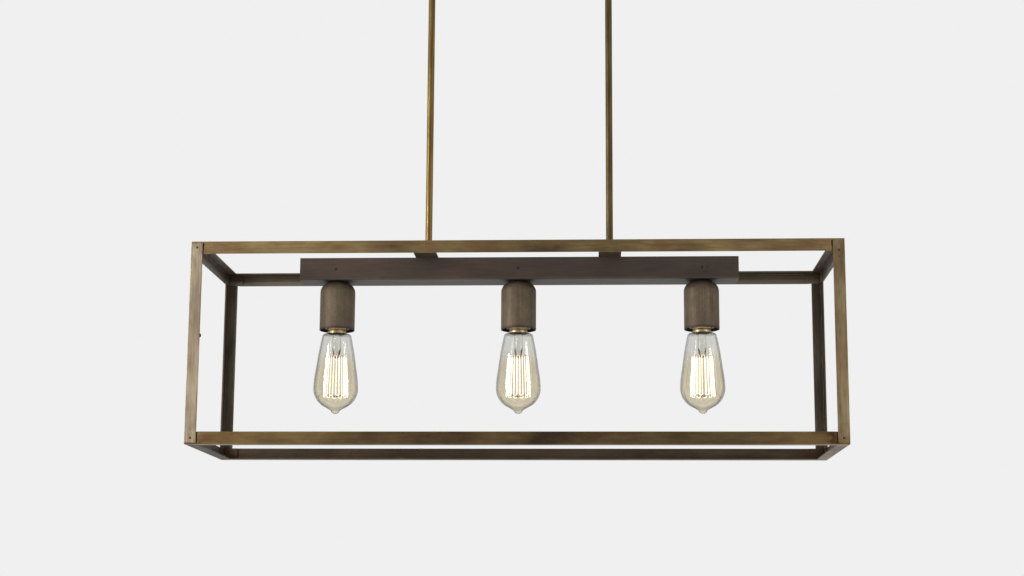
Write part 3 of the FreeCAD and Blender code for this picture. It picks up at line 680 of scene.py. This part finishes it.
def brushed_bronze(name):
    """Brown bronze brushed down the side and redder below, with painted shade on the dome
    and a dark stripe of painted shade just above the open end.
    """
    material, wire = new_finish(name)
    plain = pattern(wire)
    streaks = noise(wire, pattern(wire, (1, 1, 0.03)), 330.0, 5.0, 0.6)
    bands = noise(wire, pattern(wire, (1, 1, 0.15)), 110.0, 3.0).between(0.38, 0.62)
    clouds = noise(wire, plain, 45.0, 4.0).between(0.36, 0.66)
    level = coordinate(wire, "z")
    # Painted shade on the dome, under the dark bar above it.
    dome_shade = level.between(cup_high.z - CUP_DOME, cup_high.z - 1 * MM)
    pits = noise(wire, plain, 260.0, 4.0, 0.65).between(0.46, 0.64)
    skirt = level.between(*(cup_low.z + above for above in SKIRT_ABOVE_RIM))
    colour = clouds.blend(tone(88, 76, 58), tone(110, 95, 73))
    colour = (0.4 * bands).blend(colour, tone(116, 102, 84))
    colour = (0.5 * streaks.between(0.4, 0.66)).blend(colour, tone(70, 58, 45))
    colour = (0.35 * pits).blend(colour, tone(74, 62, 48))
    colour = (0.5 * skirt).blend(colour, tone(84, 67, 56))
    colour = (0.7 * dome_shade).blend(colour, tone(48, 40, 30))
    # Painted shade: a dark stripe just above the open end, where the cup's dark inside shows.
    rim_shade = level.between(*(cup_low.z + above for above in SHADE_ABOVE_RIM))
    colour = (0.75 * rim_shade).blend(colour, tone(46, 38, 31))
    return coat(material, wire, {
        "Base Color": colour,
        "Metallic": 0.5,
        "Roughness": 0.54 + 0.16 * streaks,
        "Normal": bump(wire, streaks + 0.5 * pits, 0.05 * MM),
    })


CUP_BRONZE = brushed_bronze("cup_bronze")
for lamp in LAMPS:
    settle(spun_cup(lamp_x[lamp]), "spun_cup_" + lamp, "pendant", [CUP_BRONZE],
           ["cup_" + lamp])

# %% [markdown]
# ## Turned shapes
#
# Bulb glass is blown in a mould and a bulb cap is pressed from brass. Both are round, so both are
# turned here as a potter would: a ring of edges is drawn along an outline, wider and narrower. The
# spin operator could do it too, but this way every ring's radius can be read from the outline.

# %% Turning along an outline


def arc_points(start, end, radius, steps):
    """Points after start up to end, on an arc that bulges to the right of the way, seen with radius
    to the right and height upwards."""
    start, end = Vector(start), Vector(end)
    chord = end - start
    side = Vector((chord.y, -chord.x)).normalized()
    centre = (start + end) / 2 + side * math.sqrt(max(radius ** 2 - chord.length_squared / 4, 0))
    first = math.atan2(start.y - centre.y, start.x - centre.x)
    turn = -2 * math.asin(min(1.0, chord.length / 2 / radius))
    spots = []
    for i in range(1, steps + 1):
        angle = first + turn * i / steps
        spots.append((centre.x + radius * math.cos(angle), centre.y + radius * math.sin(angle)))
    return spots


POLE, CLOSE_POLE = 0.02 * MM, 0.05 * MM


def turned(outline, x, sides):
    """A surface turned about a lamp's axis: one ring of edges drawn along an outline. Where the
    outline ends at the pole, the merging closes it."""
    bpy.ops.object.select_all(action="DESELECT")
    radius, height = outline[0]
    bpy.ops.mesh.primitive_circle_add(vertices=sides, radius=radius, location=(0, 0, height))
    piece = bpy.context.object
    bpy.ops.object.transform_apply(location=True)
    with editing(piece, "EDGE"):
        bpy.ops.mesh.select_all(action="SELECT")
        for (before, level), (after, next_level) in zip(outline, outline[1:]):
            rise = {"value": (0, 0, next_level - level)}
            bpy.ops.mesh.extrude_region_move(TRANSFORM_OT_translate=rise)
            share = after / before
            bpy.ops.transform.resize(value=(share, share, 1), center_override=(0, 0, next_level))
        clean_up(CLOSE_POLE)
    piece.data.transform(Matrix.Translation((x, 0, 0)))
    return piece


# %% [markdown]
# ## Bulb glass
#
# The glass is thin and pear-shaped, drawn out to a sealed tip. Its wall is given its thickness
# last, so light bends through it as through real glass. The metal vapour of an old bulb tints the
# belly. Where the wall is seen edge on, a share of plain grey is mixed in: painted shade.

# %% Outline of the glass

glass_low, glass_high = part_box("bulb_glass_middle")
cap_low, cap_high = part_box("bulb_cap_middle")
tip = glass_low.z
NECK = 12.45 * MM
GLASS = [(11.2 * MM, glass_high.z), (11.2 * MM, cap_low.z + 4.4 * MM), (NECK, cap_low.z + 2.2 * MM),
         (NECK, cap_low.z - 0.15 * MM)]
for end, radius, steps in (
        ((20.6 * MM, cap_low.z - 2.6 * MM), 16 * MM, 5),
        ((28.9 * MM, tip + 65 * MM), 500 * MM, 8),
        ((32 * MM, tip + 35 * MM), 160 * MM, 6),
        ((13.9 * MM, tip + 9.3 * MM), 30 * MM, 9)):
    GLASS += arc_points(GLASS[-1], end, radius, steps)
GLASS += [(6.6 * MM, tip + 5 * MM), (5.8 * MM, tip + 3.2 * MM)]
GLASS += arc_points(GLASS[-1], (POLE, tip), 7 * MM, 4)
print("glass outline of", len(GLASS), "rings")

# %% Glass shapes and finish

EDGE_ON = (0.42, 0.94)


def clear_glass(name, tint, low_tint, edge_shade_tint, share, high, low):
    """Clear glass whose tint changes down its height, with a share of grey where seen edge on:
    painted shade.
    """
    material, wire = new_finish(name)
    warmth = coordinate(wire, "z").between(high, low)
    clear = wire.node("BsdfPrincipled", {
        "Base Color": warmth.blend(tint, low_tint),
        "Roughness": 0.0,
        "IOR": 1.45,
        "Transmission Weight": 1.0,
    })
    # Painted shade: an opaque grey mixed in where the wall is seen edge on.
    rim_shade = wire.node("BsdfPrincipled", {"Base Color": edge_shade_tint, "Roughness": 0.4})
    edge_on = wire.node("LayerWeight", {"Blend": 0.5}, out="Facing").between(*EDGE_ON)
    mixed = wire.node("MixShader", {0: share * edge_on, 1: clear, 2: rim_shade})
    wire.node("OutputMaterial", {"Surface": mixed})
    print("finish", name, "has", len(wire.tree.nodes), "nodes")
    return material


BULB_GLASS = clear_glass("bulb_glass", tone(237, 237, 234), tone(233, 227, 212),
                         tone(88, 86, 76), 0.75, cap_low.z - 22 * MM, cap_low.z - 48 * MM)
GLASS_WALL = 0.7 * MM
for lamp in LAMPS:
    envelope = turned(GLASS, lamp_x[lamp], 80)
    apply_modifier(envelope, "SOLIDIFY", thickness=GLASS_WALL, offset=-1)
    smooth(envelope, 60)
    settle(envelope, "blown_glass_" + lamp, "bulb_" + lamp, [BULB_GLASS],
           ["bulb_glass_" + lamp])

# %% [markdown]
# ## Bulb caps with a thread
#
# The cap is pressed from thin brass, and its thread is rolled into the wall, so it shows when the
# bulb is screwed out. The cap is turned with many rings first. Then every point in the threaded
# part moves in or out, by its height and its angle, onto a right-hand thread. Stacked rings would
# be simpler, but they would not climb.

# %% Cap shape

PITCH, CREST, ROOT = 3.63 * MM, 13.1 * MM, 12.2 * MM
CAP_WALL = 0.25 * MM
thread_low, thread_high = cap_low.z + 4.6 * MM, cap_high.z - 2.6 * MM
RINGS = 40
CAP = [(12.7 * MM, cap_low.z + 0.1 * MM), (12.9 * MM, cap_low.z), (CREST, cap_low.z + 0.4 * MM),
       (CREST, cap_low.z + 3.4 * MM), (12.8 * MM, cap_low.z + 4.0 * MM)]
CAP += [(ROOT, thread_low + (thread_high - thread_low) * i / RINGS) for i in range(RINGS + 1)]
CAP += [(11.6 * MM, cap_high.z - 1.4 * MM), (10.6 * MM, cap_high.z - 0.5 * MM),
        (9 * MM, cap_high.z), (POLE, cap_high.z)]
print("cap outline of", len(CAP), "rings")


def roll_thread(piece, x):
    """Moves the points of the threaded part onto a right-hand thread."""
    moved = 0
    for point in piece.data.vertices:
        away = point.co - Vector((x, 0, 0))
        if thread_low < away.z < thread_high:
            turn = math.atan2(away.y, away.x) / math.tau
            wave = 0.5 + 0.5 * math.cos(math.tau * (away.z / PITCH - turn))
            fade = min(1, 2 * (away.z - thread_low) / PITCH, 2 * (thread_high - away.z) / PITCH)
            share = (ROOT + (CREST - ROOT) * wave * fade) / math.hypot(away.x, away.y)
            point.co.x, point.co.y = x + away.x * share, away.y * share
            moved += 1
    print("thread rolled into", moved, "points")


# %% Finishes of the small pieces


def plain_finish(name, low, high, metal, rough):
    """One colour with a fine grain and soft darker clouds."""
    material, wire = new_finish(name)
    grain = noise(wire, pattern(wire), 300.0, 4.0)
    clouds = noise(wire, pattern(wire, shift=(2.0, 0.5, 1.0)), 50.0, 3.0)
    colour = grain.between(0.35, 0.65).blend(low, high)
    shade = (*(0.72 * value for value in low[:3]), 1.0)
    colour = (0.6 * clouds.between(0.42, 0.66)).blend(colour, shade)
    return coat(material, wire, {
        "Base Color": colour,
        "Metallic": metal,
        "Roughness": rough + 0.12 * grain,
        "Normal": bump(wire, grain, 0.03 * MM),
    })


CAP_BRASS = plain_finish("cap_brass", tone(184, 160, 120), tone(206, 182, 142), 0.8, 0.38)
PHENOLIC = plain_finish("phenolic", tone(34, 28, 24), tone(50, 40, 34), 0.0, 0.38)
ZINC = plain_finish("zinc", tone(132, 134, 136), tone(158, 160, 160), 0.75, 0.45)
PLASTIC = plain_finish("block_plastic", tone(214, 212, 204), tone(226, 224, 218), 0.0, 0.4)
SILICONE = plain_finish("silicone", tone(190, 184, 172), tone(206, 200, 190), 0.0, 0.5)
BLACK_GLASS = plain_finish("black_glass", tone(22, 22, 24), tone(34, 34, 36), 0.0, 0.15)
HOOK_GREY = plain_finish("hook_grey", tone(128, 112, 98), tone(156, 138, 120), 0.8, 0.4)

# %% Caps and tips

for lamp in LAMPS:
    cap = turned(CAP, lamp_x[lamp], 72)
    roll_thread(cap, lamp_x[lamp])
    apply_modifier(cap, "SOLIDIFY", thickness=CAP_WALL, offset=-1)
    smooth(cap, 50)
    settle(cap, "threaded_cap_" + lamp, "bulb_" + lamp, [CAP_BRASS],
           ["bulb_cap_" + lamp])
    dressed("bulb_contact_" + lamp, "bulb_%s_centre" % lamp, BLACK_GLASS,
            0.4 * MM)

# %% [markdown]
# ## The glass stem inside a bulb
#
# A flared glass tube stands in the neck. It is pinched flat where the lead wires pass through it,
# and a thin glass rod with a button at its end carries the hooks. It is turned like the bulb, and
# the pinch is then pressed flat by moving its rings towards one plane.

# %% Stem glass

mount_low, mount_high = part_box("bulb_mount_middle")
foot, button = mount_high.z, mount_low.z
pinch = foot - 45 * MM
MOUNT = [(POLE, foot), (11 * MM, foot), (11.2 * MM, foot - 0.6 * MM), (9.4 * MM, foot - 1.6 * MM),
         (7.6 * MM, foot - 4 * MM), (6.7 * MM, foot - 8 * MM), (6.3 * MM, foot - 14 * MM),
         (6.2 * MM, foot - 32 * MM), (5.9 * MM, foot - 37 * MM), (5.0 * MM, foot - 41 * MM),
         (4.0 * MM, pinch), (2.0 * MM, pinch - 0.9 * MM), (1.0 * MM, pinch - 2 * MM),
         (1.0 * MM, button + 4 * MM), (1.9 * MM, button + 3.1 * MM), (2.7 * MM, button + 2 * MM),
         (2.6 * MM, button + 0.9 * MM), (1.4 * MM, button), (POLE, button)]
PRESS_START, PRESS_LENGTH, PRESS_SHARE = foot - 33 * MM, 10 * MM, 0.62
PRESS_END = pinch - 1.5 * MM


def press_pinch(piece):
    """Presses the lower end of the tube flat, more and more towards the pinch."""
    for point in piece.data.vertices:
        press = min(1, max(0, (PRESS_START - point.co.z) / PRESS_LENGTH))
        if point.co.z > PRESS_END:
            point.co.y *= 1 - PRESS_SHARE * press


STEM_GLASS = clear_glass("stem_glass", tone(246, 247, 245), tone(240, 236, 226),
                         tone(180, 178, 168), 0.10, foot, pinch)
for lamp in LAMPS:
    stem = turned(MOUNT, lamp_x[lamp], 40)
    press_pinch(stem)
    smooth(stem, 60)
    settle(stem, "pinched_stem_" + lamp, "bulb_" + lamp, [STEM_GLASS],
           ["bulb_mount_" + lamp])

# %% [markdown]
# ## Filament
#
# A squirrel-cage filament runs down and up between two rings of hooks. Wire is bent, not carved, so
# it is a curve with a round section, and it becomes a mesh at the end. Two points near each turn
# keep the strands straight and the turns short. The glow is the material: a warm white light, far
# brighter than the background, and cooler near the top, where the hooks lead the heat away.

# %% Bending wire


def bent_wire(name, runs, thickness, sides=2):
    """One mesh of round wires, each along its own run of points."""
    data = bpy.data.curves.new(name, "CURVE")
    data.dimensions = "3D"
    data.bevel_depth = thickness / 2
    data.bevel_resolution = sides
    data.resolution_u = 5
    data.use_fill_caps = True
    for run in runs:
        spline = data.splines.new("NURBS")
        spline.points.add(len(run) - 1)
        for point, spot in zip(spline.points, run):
            point.co = (*spot, 1)
        spline.order_u = 3
        spline.use_endpoint_u = True
    wire = bpy.data.objects.new(name, data)
    bpy.context.collection.objects.link(wire)
    only(wire)
    bpy.ops.object.convert(target="MESH")
    wire = bpy.context.object
    with editing(wire):
        clean_up()
    smooth(wire, 60)
    return wire


# %% Ways of the strands and hooks

STRANDS = 24
WIRE, HOOK = 0.6 * MM, 0.4 * MM
HOOK_ROOM, TAPER = 1.8 * MM, 3.1 * MM
FIRST_ANGLE = 0.16
strand_low, strand_high = (c.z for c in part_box("filament_middle"))
strand_low, strand_high = strand_low + WIRE / 2, strand_high - HOOK_ROOM
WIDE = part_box("filament_middle")[1].x - lamp_x["middle"] - WIRE / 2
NARROW = WIDE - TAPER
print(STRANDS, "strands of", round((strand_high - strand_low) / MM, 1), "mm")


def on_ring(x, share, radius, z):
    """A spot on a ring about the lamp's axis, a share of the way round."""
    angle = math.tau * share + FIRST_ANGLE
    return (x + radius * math.cos(angle), radius * math.sin(angle), z)


def strand_run(x):
    """Down and up round the lamp's axis, with a short turn at every hook."""
    run = []
    bend = 2.2 * MM
    slope = (WIDE - NARROW) * bend / (strand_high - strand_low)
    for k in range(STRANDS):
        strand = [(NARROW, strand_high), (NARROW + slope, strand_high - bend),
                  (WIDE - slope, strand_low + bend), (WIDE, strand_low)]
        run += [on_ring(x, k / STRANDS, *spot) for spot in (strand if k % 2 == 0 else strand[::-1])]
    return run


def hook_runs(x):
    """Hooks from the button and the pinch to the turns, and a lead wire to each end."""
    chord = math.cos(math.pi / STRANDS)
    runs = []
    for k in range(STRANDS - 1):
        share = (k + 0.5) / STRANDS
        if k % 2 == 0:
            reach = WIDE * chord
            way = ((1.6 * MM, button + 2 * MM), (9 * MM, button + 3.6 * MM),
                   (reach - 1 * MM, strand_low + 1.6 * MM), (reach, strand_low - 0.2 * MM))
        else:
            reach = NARROW * chord
            way = ((0.8 * MM, pinch - 2.5 * MM), (7 * MM, pinch + 1.2 * MM),
                   (reach - 1 * MM, strand_high - 1.4 * MM), (reach, strand_high + 0.3 * MM))
        runs.append([on_ring(x, share, *spot) for spot in way])
    for k in (0, STRANDS - 1):
        way = ((3 * MM, pinch + 1 * MM), (8 * MM, pinch + 2.4 * MM),
               (NARROW, strand_high + 0.3 * MM))
        runs.append([on_ring(x, k / STRANDS, *spot) for spot in way])
    return runs


# %% Filaments and hooks

COOL_END = 3 * MM


def glowing_wire(name, strength):
    """White-hot wire, unevenly bright and cooler at its upper turns."""
    material, wire = new_finish(name)
    flicker = noise(wire, pattern(wire), 300.0, 2.0)
    glow = flicker.between(0.3, 0.7).blend(tone(255, 238, 216), tone(255, 248, 238))
    cool = coordinate(wire, "z").between(strand_high - COOL_END, strand_high)
    glow = (0.9 * cool).blend(glow, tone(168, 138, 112))
    return coat(material, wire, {
        "Base Color": tone(90, 70, 50),
        "Roughness": 0.5,
        "Emission Color": glow,
        "Emission Strength": strength,
    })


FILAMENT = glowing_wire("glowing_filament", 3.4)
for lamp in LAMPS:
    body, x = "bulb_" + lamp, lamp_x[lamp]
    strands = bent_wire("glow", [strand_run(x)], WIRE)
    settle(strands, "wire_cage_" + lamp, body, [FILAMENT], ["filament_" + lamp])
    hooks = bent_wire("hooks", hook_runs(x), HOOK, 1)
    settle(hooks, "hooks_" + lamp, body, [HOOK_GREY])

# %% [markdown]
# ## Lampholders, leads and the ceiling parts
#
# The holders are moulded from dark phenolic, with a brass shell for the bulb's thread. The ceiling
# cover hides the bracket and the terminal block, which show when it slides down, and the bar hides
# the leads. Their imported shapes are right, so each gets round edges and its finish.

# %% Hidden and half hidden pieces

for lamp in LAMPS:
    dressed("lampholder_" + lamp, "pendant", PHENOLIC, 0.5 * MM)
    dressed("screw_shell_" + lamp, "pendant", CAP_BRASS, 0.1 * MM)
for node, slot, finish, width in (
        ("centre_contacts", "contact_brass", CAP_BRASS, 0.15 * MM),
        ("nipples", "nipple_steel", ZINC, 0.15 * MM),
        ("ceiling_bracket", "bracket_zinc", ZINC, 0.3 * MM),
        ("terminal_block", "block_plastic", PLASTIC, 0.6 * MM)):
    dressed(node, "pendant", finish, width)
dressed("lamp_leads", "pendant", SILICONE, 0.1 * MM, angle=60)

BLOCK_SCREW_Y = 4.5 * MM
block_low, block_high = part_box("terminal_block")
heads = []
for share in (0.25, 0.5, 0.75):
    x = block_low.x + share * (block_high.x - block_low.x)
    for y in (block_low.y + BLOCK_SCREW_Y, block_high.y - BLOCK_SCREW_Y):
        heads.append(set_on(screw, (x, y, block_low.z), (0, 0, -1), LARGE, 3 * share))
settle(joined(heads), "block_screws", "pendant", [ZINC])

# %% Ceiling cover and collars

dressed("ceiling_cover", "cover", UPPER["x"], 0.5 * MM, 3)
dressed("cover_collars", "cover", NUT_BRASS)
collar_low, collar_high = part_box("cover_collars")
heads = []
for side in SIDES:
    stem_low, stem_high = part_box("stem_" + side)
    spot = ((stem_low.x + stem_high.x) / 2, collar_low.y, (collar_low.z + collar_high.z) / 2)
    heads.append(set_on(screw, spot, (0, -1, 0), turn=0.7))
settle(joined(heads), "collar_screws", "cover", [NUT_BRASS])
for model in (rivet, screw):
    bpy.data.objects.remove(model)

# %% [markdown]
# ## The studio
#
# The background is a pale grey that camera, mirror and glass rays see, so it never floods the metal
# with light. Behind the object the mirror rays meet that pale backdrop, and in front of it the
# dimmer room, which is what gives round metal its stripes. A soft lamp near the left end leads, so
# the left side is lighter, and a narrow lamp on the right draws thin lines on glass and cups. The
# floor is lifted to the background's tone for the eye alone and keeps its shadow. Seen from below
# it is clear, so that the underside can be looked at.

# %% World

PALE, ROOM, WORLD_LIGHT = 0.871, 0.45, 0.55
BEHIND = (-0.2, 0.35)
EYE_RAYS = ("Is Camera Ray", "Is Glossy Ray", "Is Transmission Ray")


def grey(value):
    """A grey, as the linear colour that a shader takes."""
    return (value, value, value, 1)


def eye_rays(wire):
    """1 for the rays that reach the eye straight, off a mirror or through glass."""
    seen, mirror, through = (wire.node("LightPath", out=kind) for kind in EYE_RAYS)
    return seen.math("MAXIMUM", mirror).math("MAXIMUM", through)


def pale_world():
    """The backdrop that the eye sees, and the even light that falls on the object."""
    world = bpy.data.worlds.new("studio")
    bpy.context.scene.world = world
    world.use_nodes = True
    world.node_tree.nodes.clear()
    wire = Wire(world.node_tree)
    direction = wire.node("TexCoord", out="Generated")
    behind = wire.node("SeparateXYZ", {"Vector": direction}, out="Y").between(*BEHIND)
    mirrored = behind.blend(grey(ROOM), grey(PALE))
    backdrop = wire.node("LightPath", out="Is Glossy Ray").blend(grey(PALE), mirrored)
    shade = wire.node("Background", {"Color": backdrop, "Strength": 1.0})
    light = wire.node("Background", {"Color": grey(1), "Strength": WORLD_LIGHT})
    mixed = wire.node("MixShader", {0: eye_rays(wire), 1: light, 2: shade})
    wire.node("OutputWorld", {"Surface": mixed})
    print("world has", len(wire.tree.nodes), "nodes")


pale_world()

# %% Lamps


def area_lamp(name, spot, aim, size, power, tall=None):
    """A soft lamp that the camera doesn't see, placed and aimed from the cage's middle."""
    data = bpy.data.lights.new(name, "AREA")
    data.shape = "RECTANGLE"
    data.size, data.size_y = size, tall or size
    data.energy = power
    lamp = bpy.data.objects.new(name, data)
    bpy.context.collection.objects.link(lamp)
    lamp.location = cage_middle + Vector(spot)
    lamp.rotation_mode = "QUATERNION"
    lamp.rotation_quaternion = (Vector(aim) - Vector(spot)).to_track_quat("-Z", "Y")
    lamp.visible_camera = False
    print(name, "of", power, "W")


area_lamp("key_lamp", (-1.5, -0.9, 0.2), (-0.15, 0, 0), 0.5, 28, 1.1)
area_lamp("fill_lamp", (2.6, -1.2, 0.4), (0, 0, 0), 1.6, 10)
area_lamp("top_lamp", (0, 0.6, 2.6), (0, 0, 0), 1.8, 22)
area_lamp("strip_lamp", (1.6, -1.3, 0), (0, 0, 0), 0.3, 8, 1.2)

# %% Floor

FLOOR_SIZE, FLOOR_BELOW = 14, 1.1
FLOOR_LIFT, LIFT_SHARE = 1.22, 0.6


def pale_floor():
    """A wide matt floor, lifted for the eye and clear from below."""
    bpy.ops.object.select_all(action="DESELECT")
    bpy.ops.mesh.primitive_plane_add(size=FLOOR_SIZE, location=(0, 0, cage_low.z - FLOOR_BELOW))
    floor = bpy.context.object
    floor.name = "floor"
    material, wire = new_finish("floor_pale")
    shade = noise(wire, pattern(wire), 3.0).blend(grey(PALE - 0.01), grey(PALE))
    matt = wire.node("BsdfPrincipled", {"Base Color": shade, "Roughness": 0.9})
    lift = wire.node("Emission", {"Color": grey(PALE), "Strength": FLOOR_LIFT})
    lifted = wire.node("MixShader", {0: LIFT_SHARE * eye_rays(wire), 1: matt, 2: lift})
    clear = wire.node("BsdfTransparent", {"Color": grey(1)})
    from_below = wire.node("NewGeometry", out="Backfacing")
    surface = wire.node("MixShader", {0: from_below, 1: lifted, 2: clear})
    wire.node("OutputMaterial", {"Surface": surface})
    floor.data.materials.append(material)
    print("floor", FLOOR_BELOW, "m below the cage")


pale_floor()

# %% [markdown]
# ## The camera
#
# The camera stands low in front of the cage and looks slightly up, as in the photograph. Its place
# and lens were fitted to the cage's corners.

# %% Camera

IMAGE_WIDTH, IMAGE_HEIGHT = 1024, 576
SENSOR_WIDTH = 36
FOCAL_PIXELS = 1715.4
MAIN_POINT = (511.4, 318.0)
YAW, TILT, ROLL = math.radians(-2.812), math.radians(9.914), math.radians(0.301)
STAND = Vector((108.8, -2425.2, -371.7)) * MM

data = bpy.data.cameras.new("camera")
data.sensor_width = SENSOR_WIDTH
data.lens = FOCAL_PIXELS * SENSOR_WIDTH / IMAGE_WIDTH
data.shift_x = (IMAGE_WIDTH / 2 - MAIN_POINT[0]) / IMAGE_WIDTH
data.shift_y = (MAIN_POINT[1] - IMAGE_HEIGHT / 2) / IMAGE_WIDTH
camera = bpy.data.objects.new("camera", data)
bpy.context.collection.objects.link(camera)
ahead = Vector((math.sin(YAW) * math.cos(TILT), math.cos(YAW) * math.cos(TILT), math.sin(TILT)))
level = Vector((math.cos(YAW), -math.sin(YAW), 0))
upright = level.cross(ahead)
right = math.cos(ROLL) * level + math.sin(ROLL) * upright
up = math.cos(ROLL) * upright - math.sin(ROLL) * level
stance = Matrix((right, up, -ahead)).transposed().to_4x4()
camera.matrix_world = Matrix.Translation(cage_middle + STAND) @ stance
bpy.context.scene.camera = camera
place = [round(v, 3) for v in camera.location]
print("camera at", place, "with a lens of", round(data.lens, 1), "mm")

# %% Colour settings

bpy.context.scene.view_settings.view_transform = "Standard"
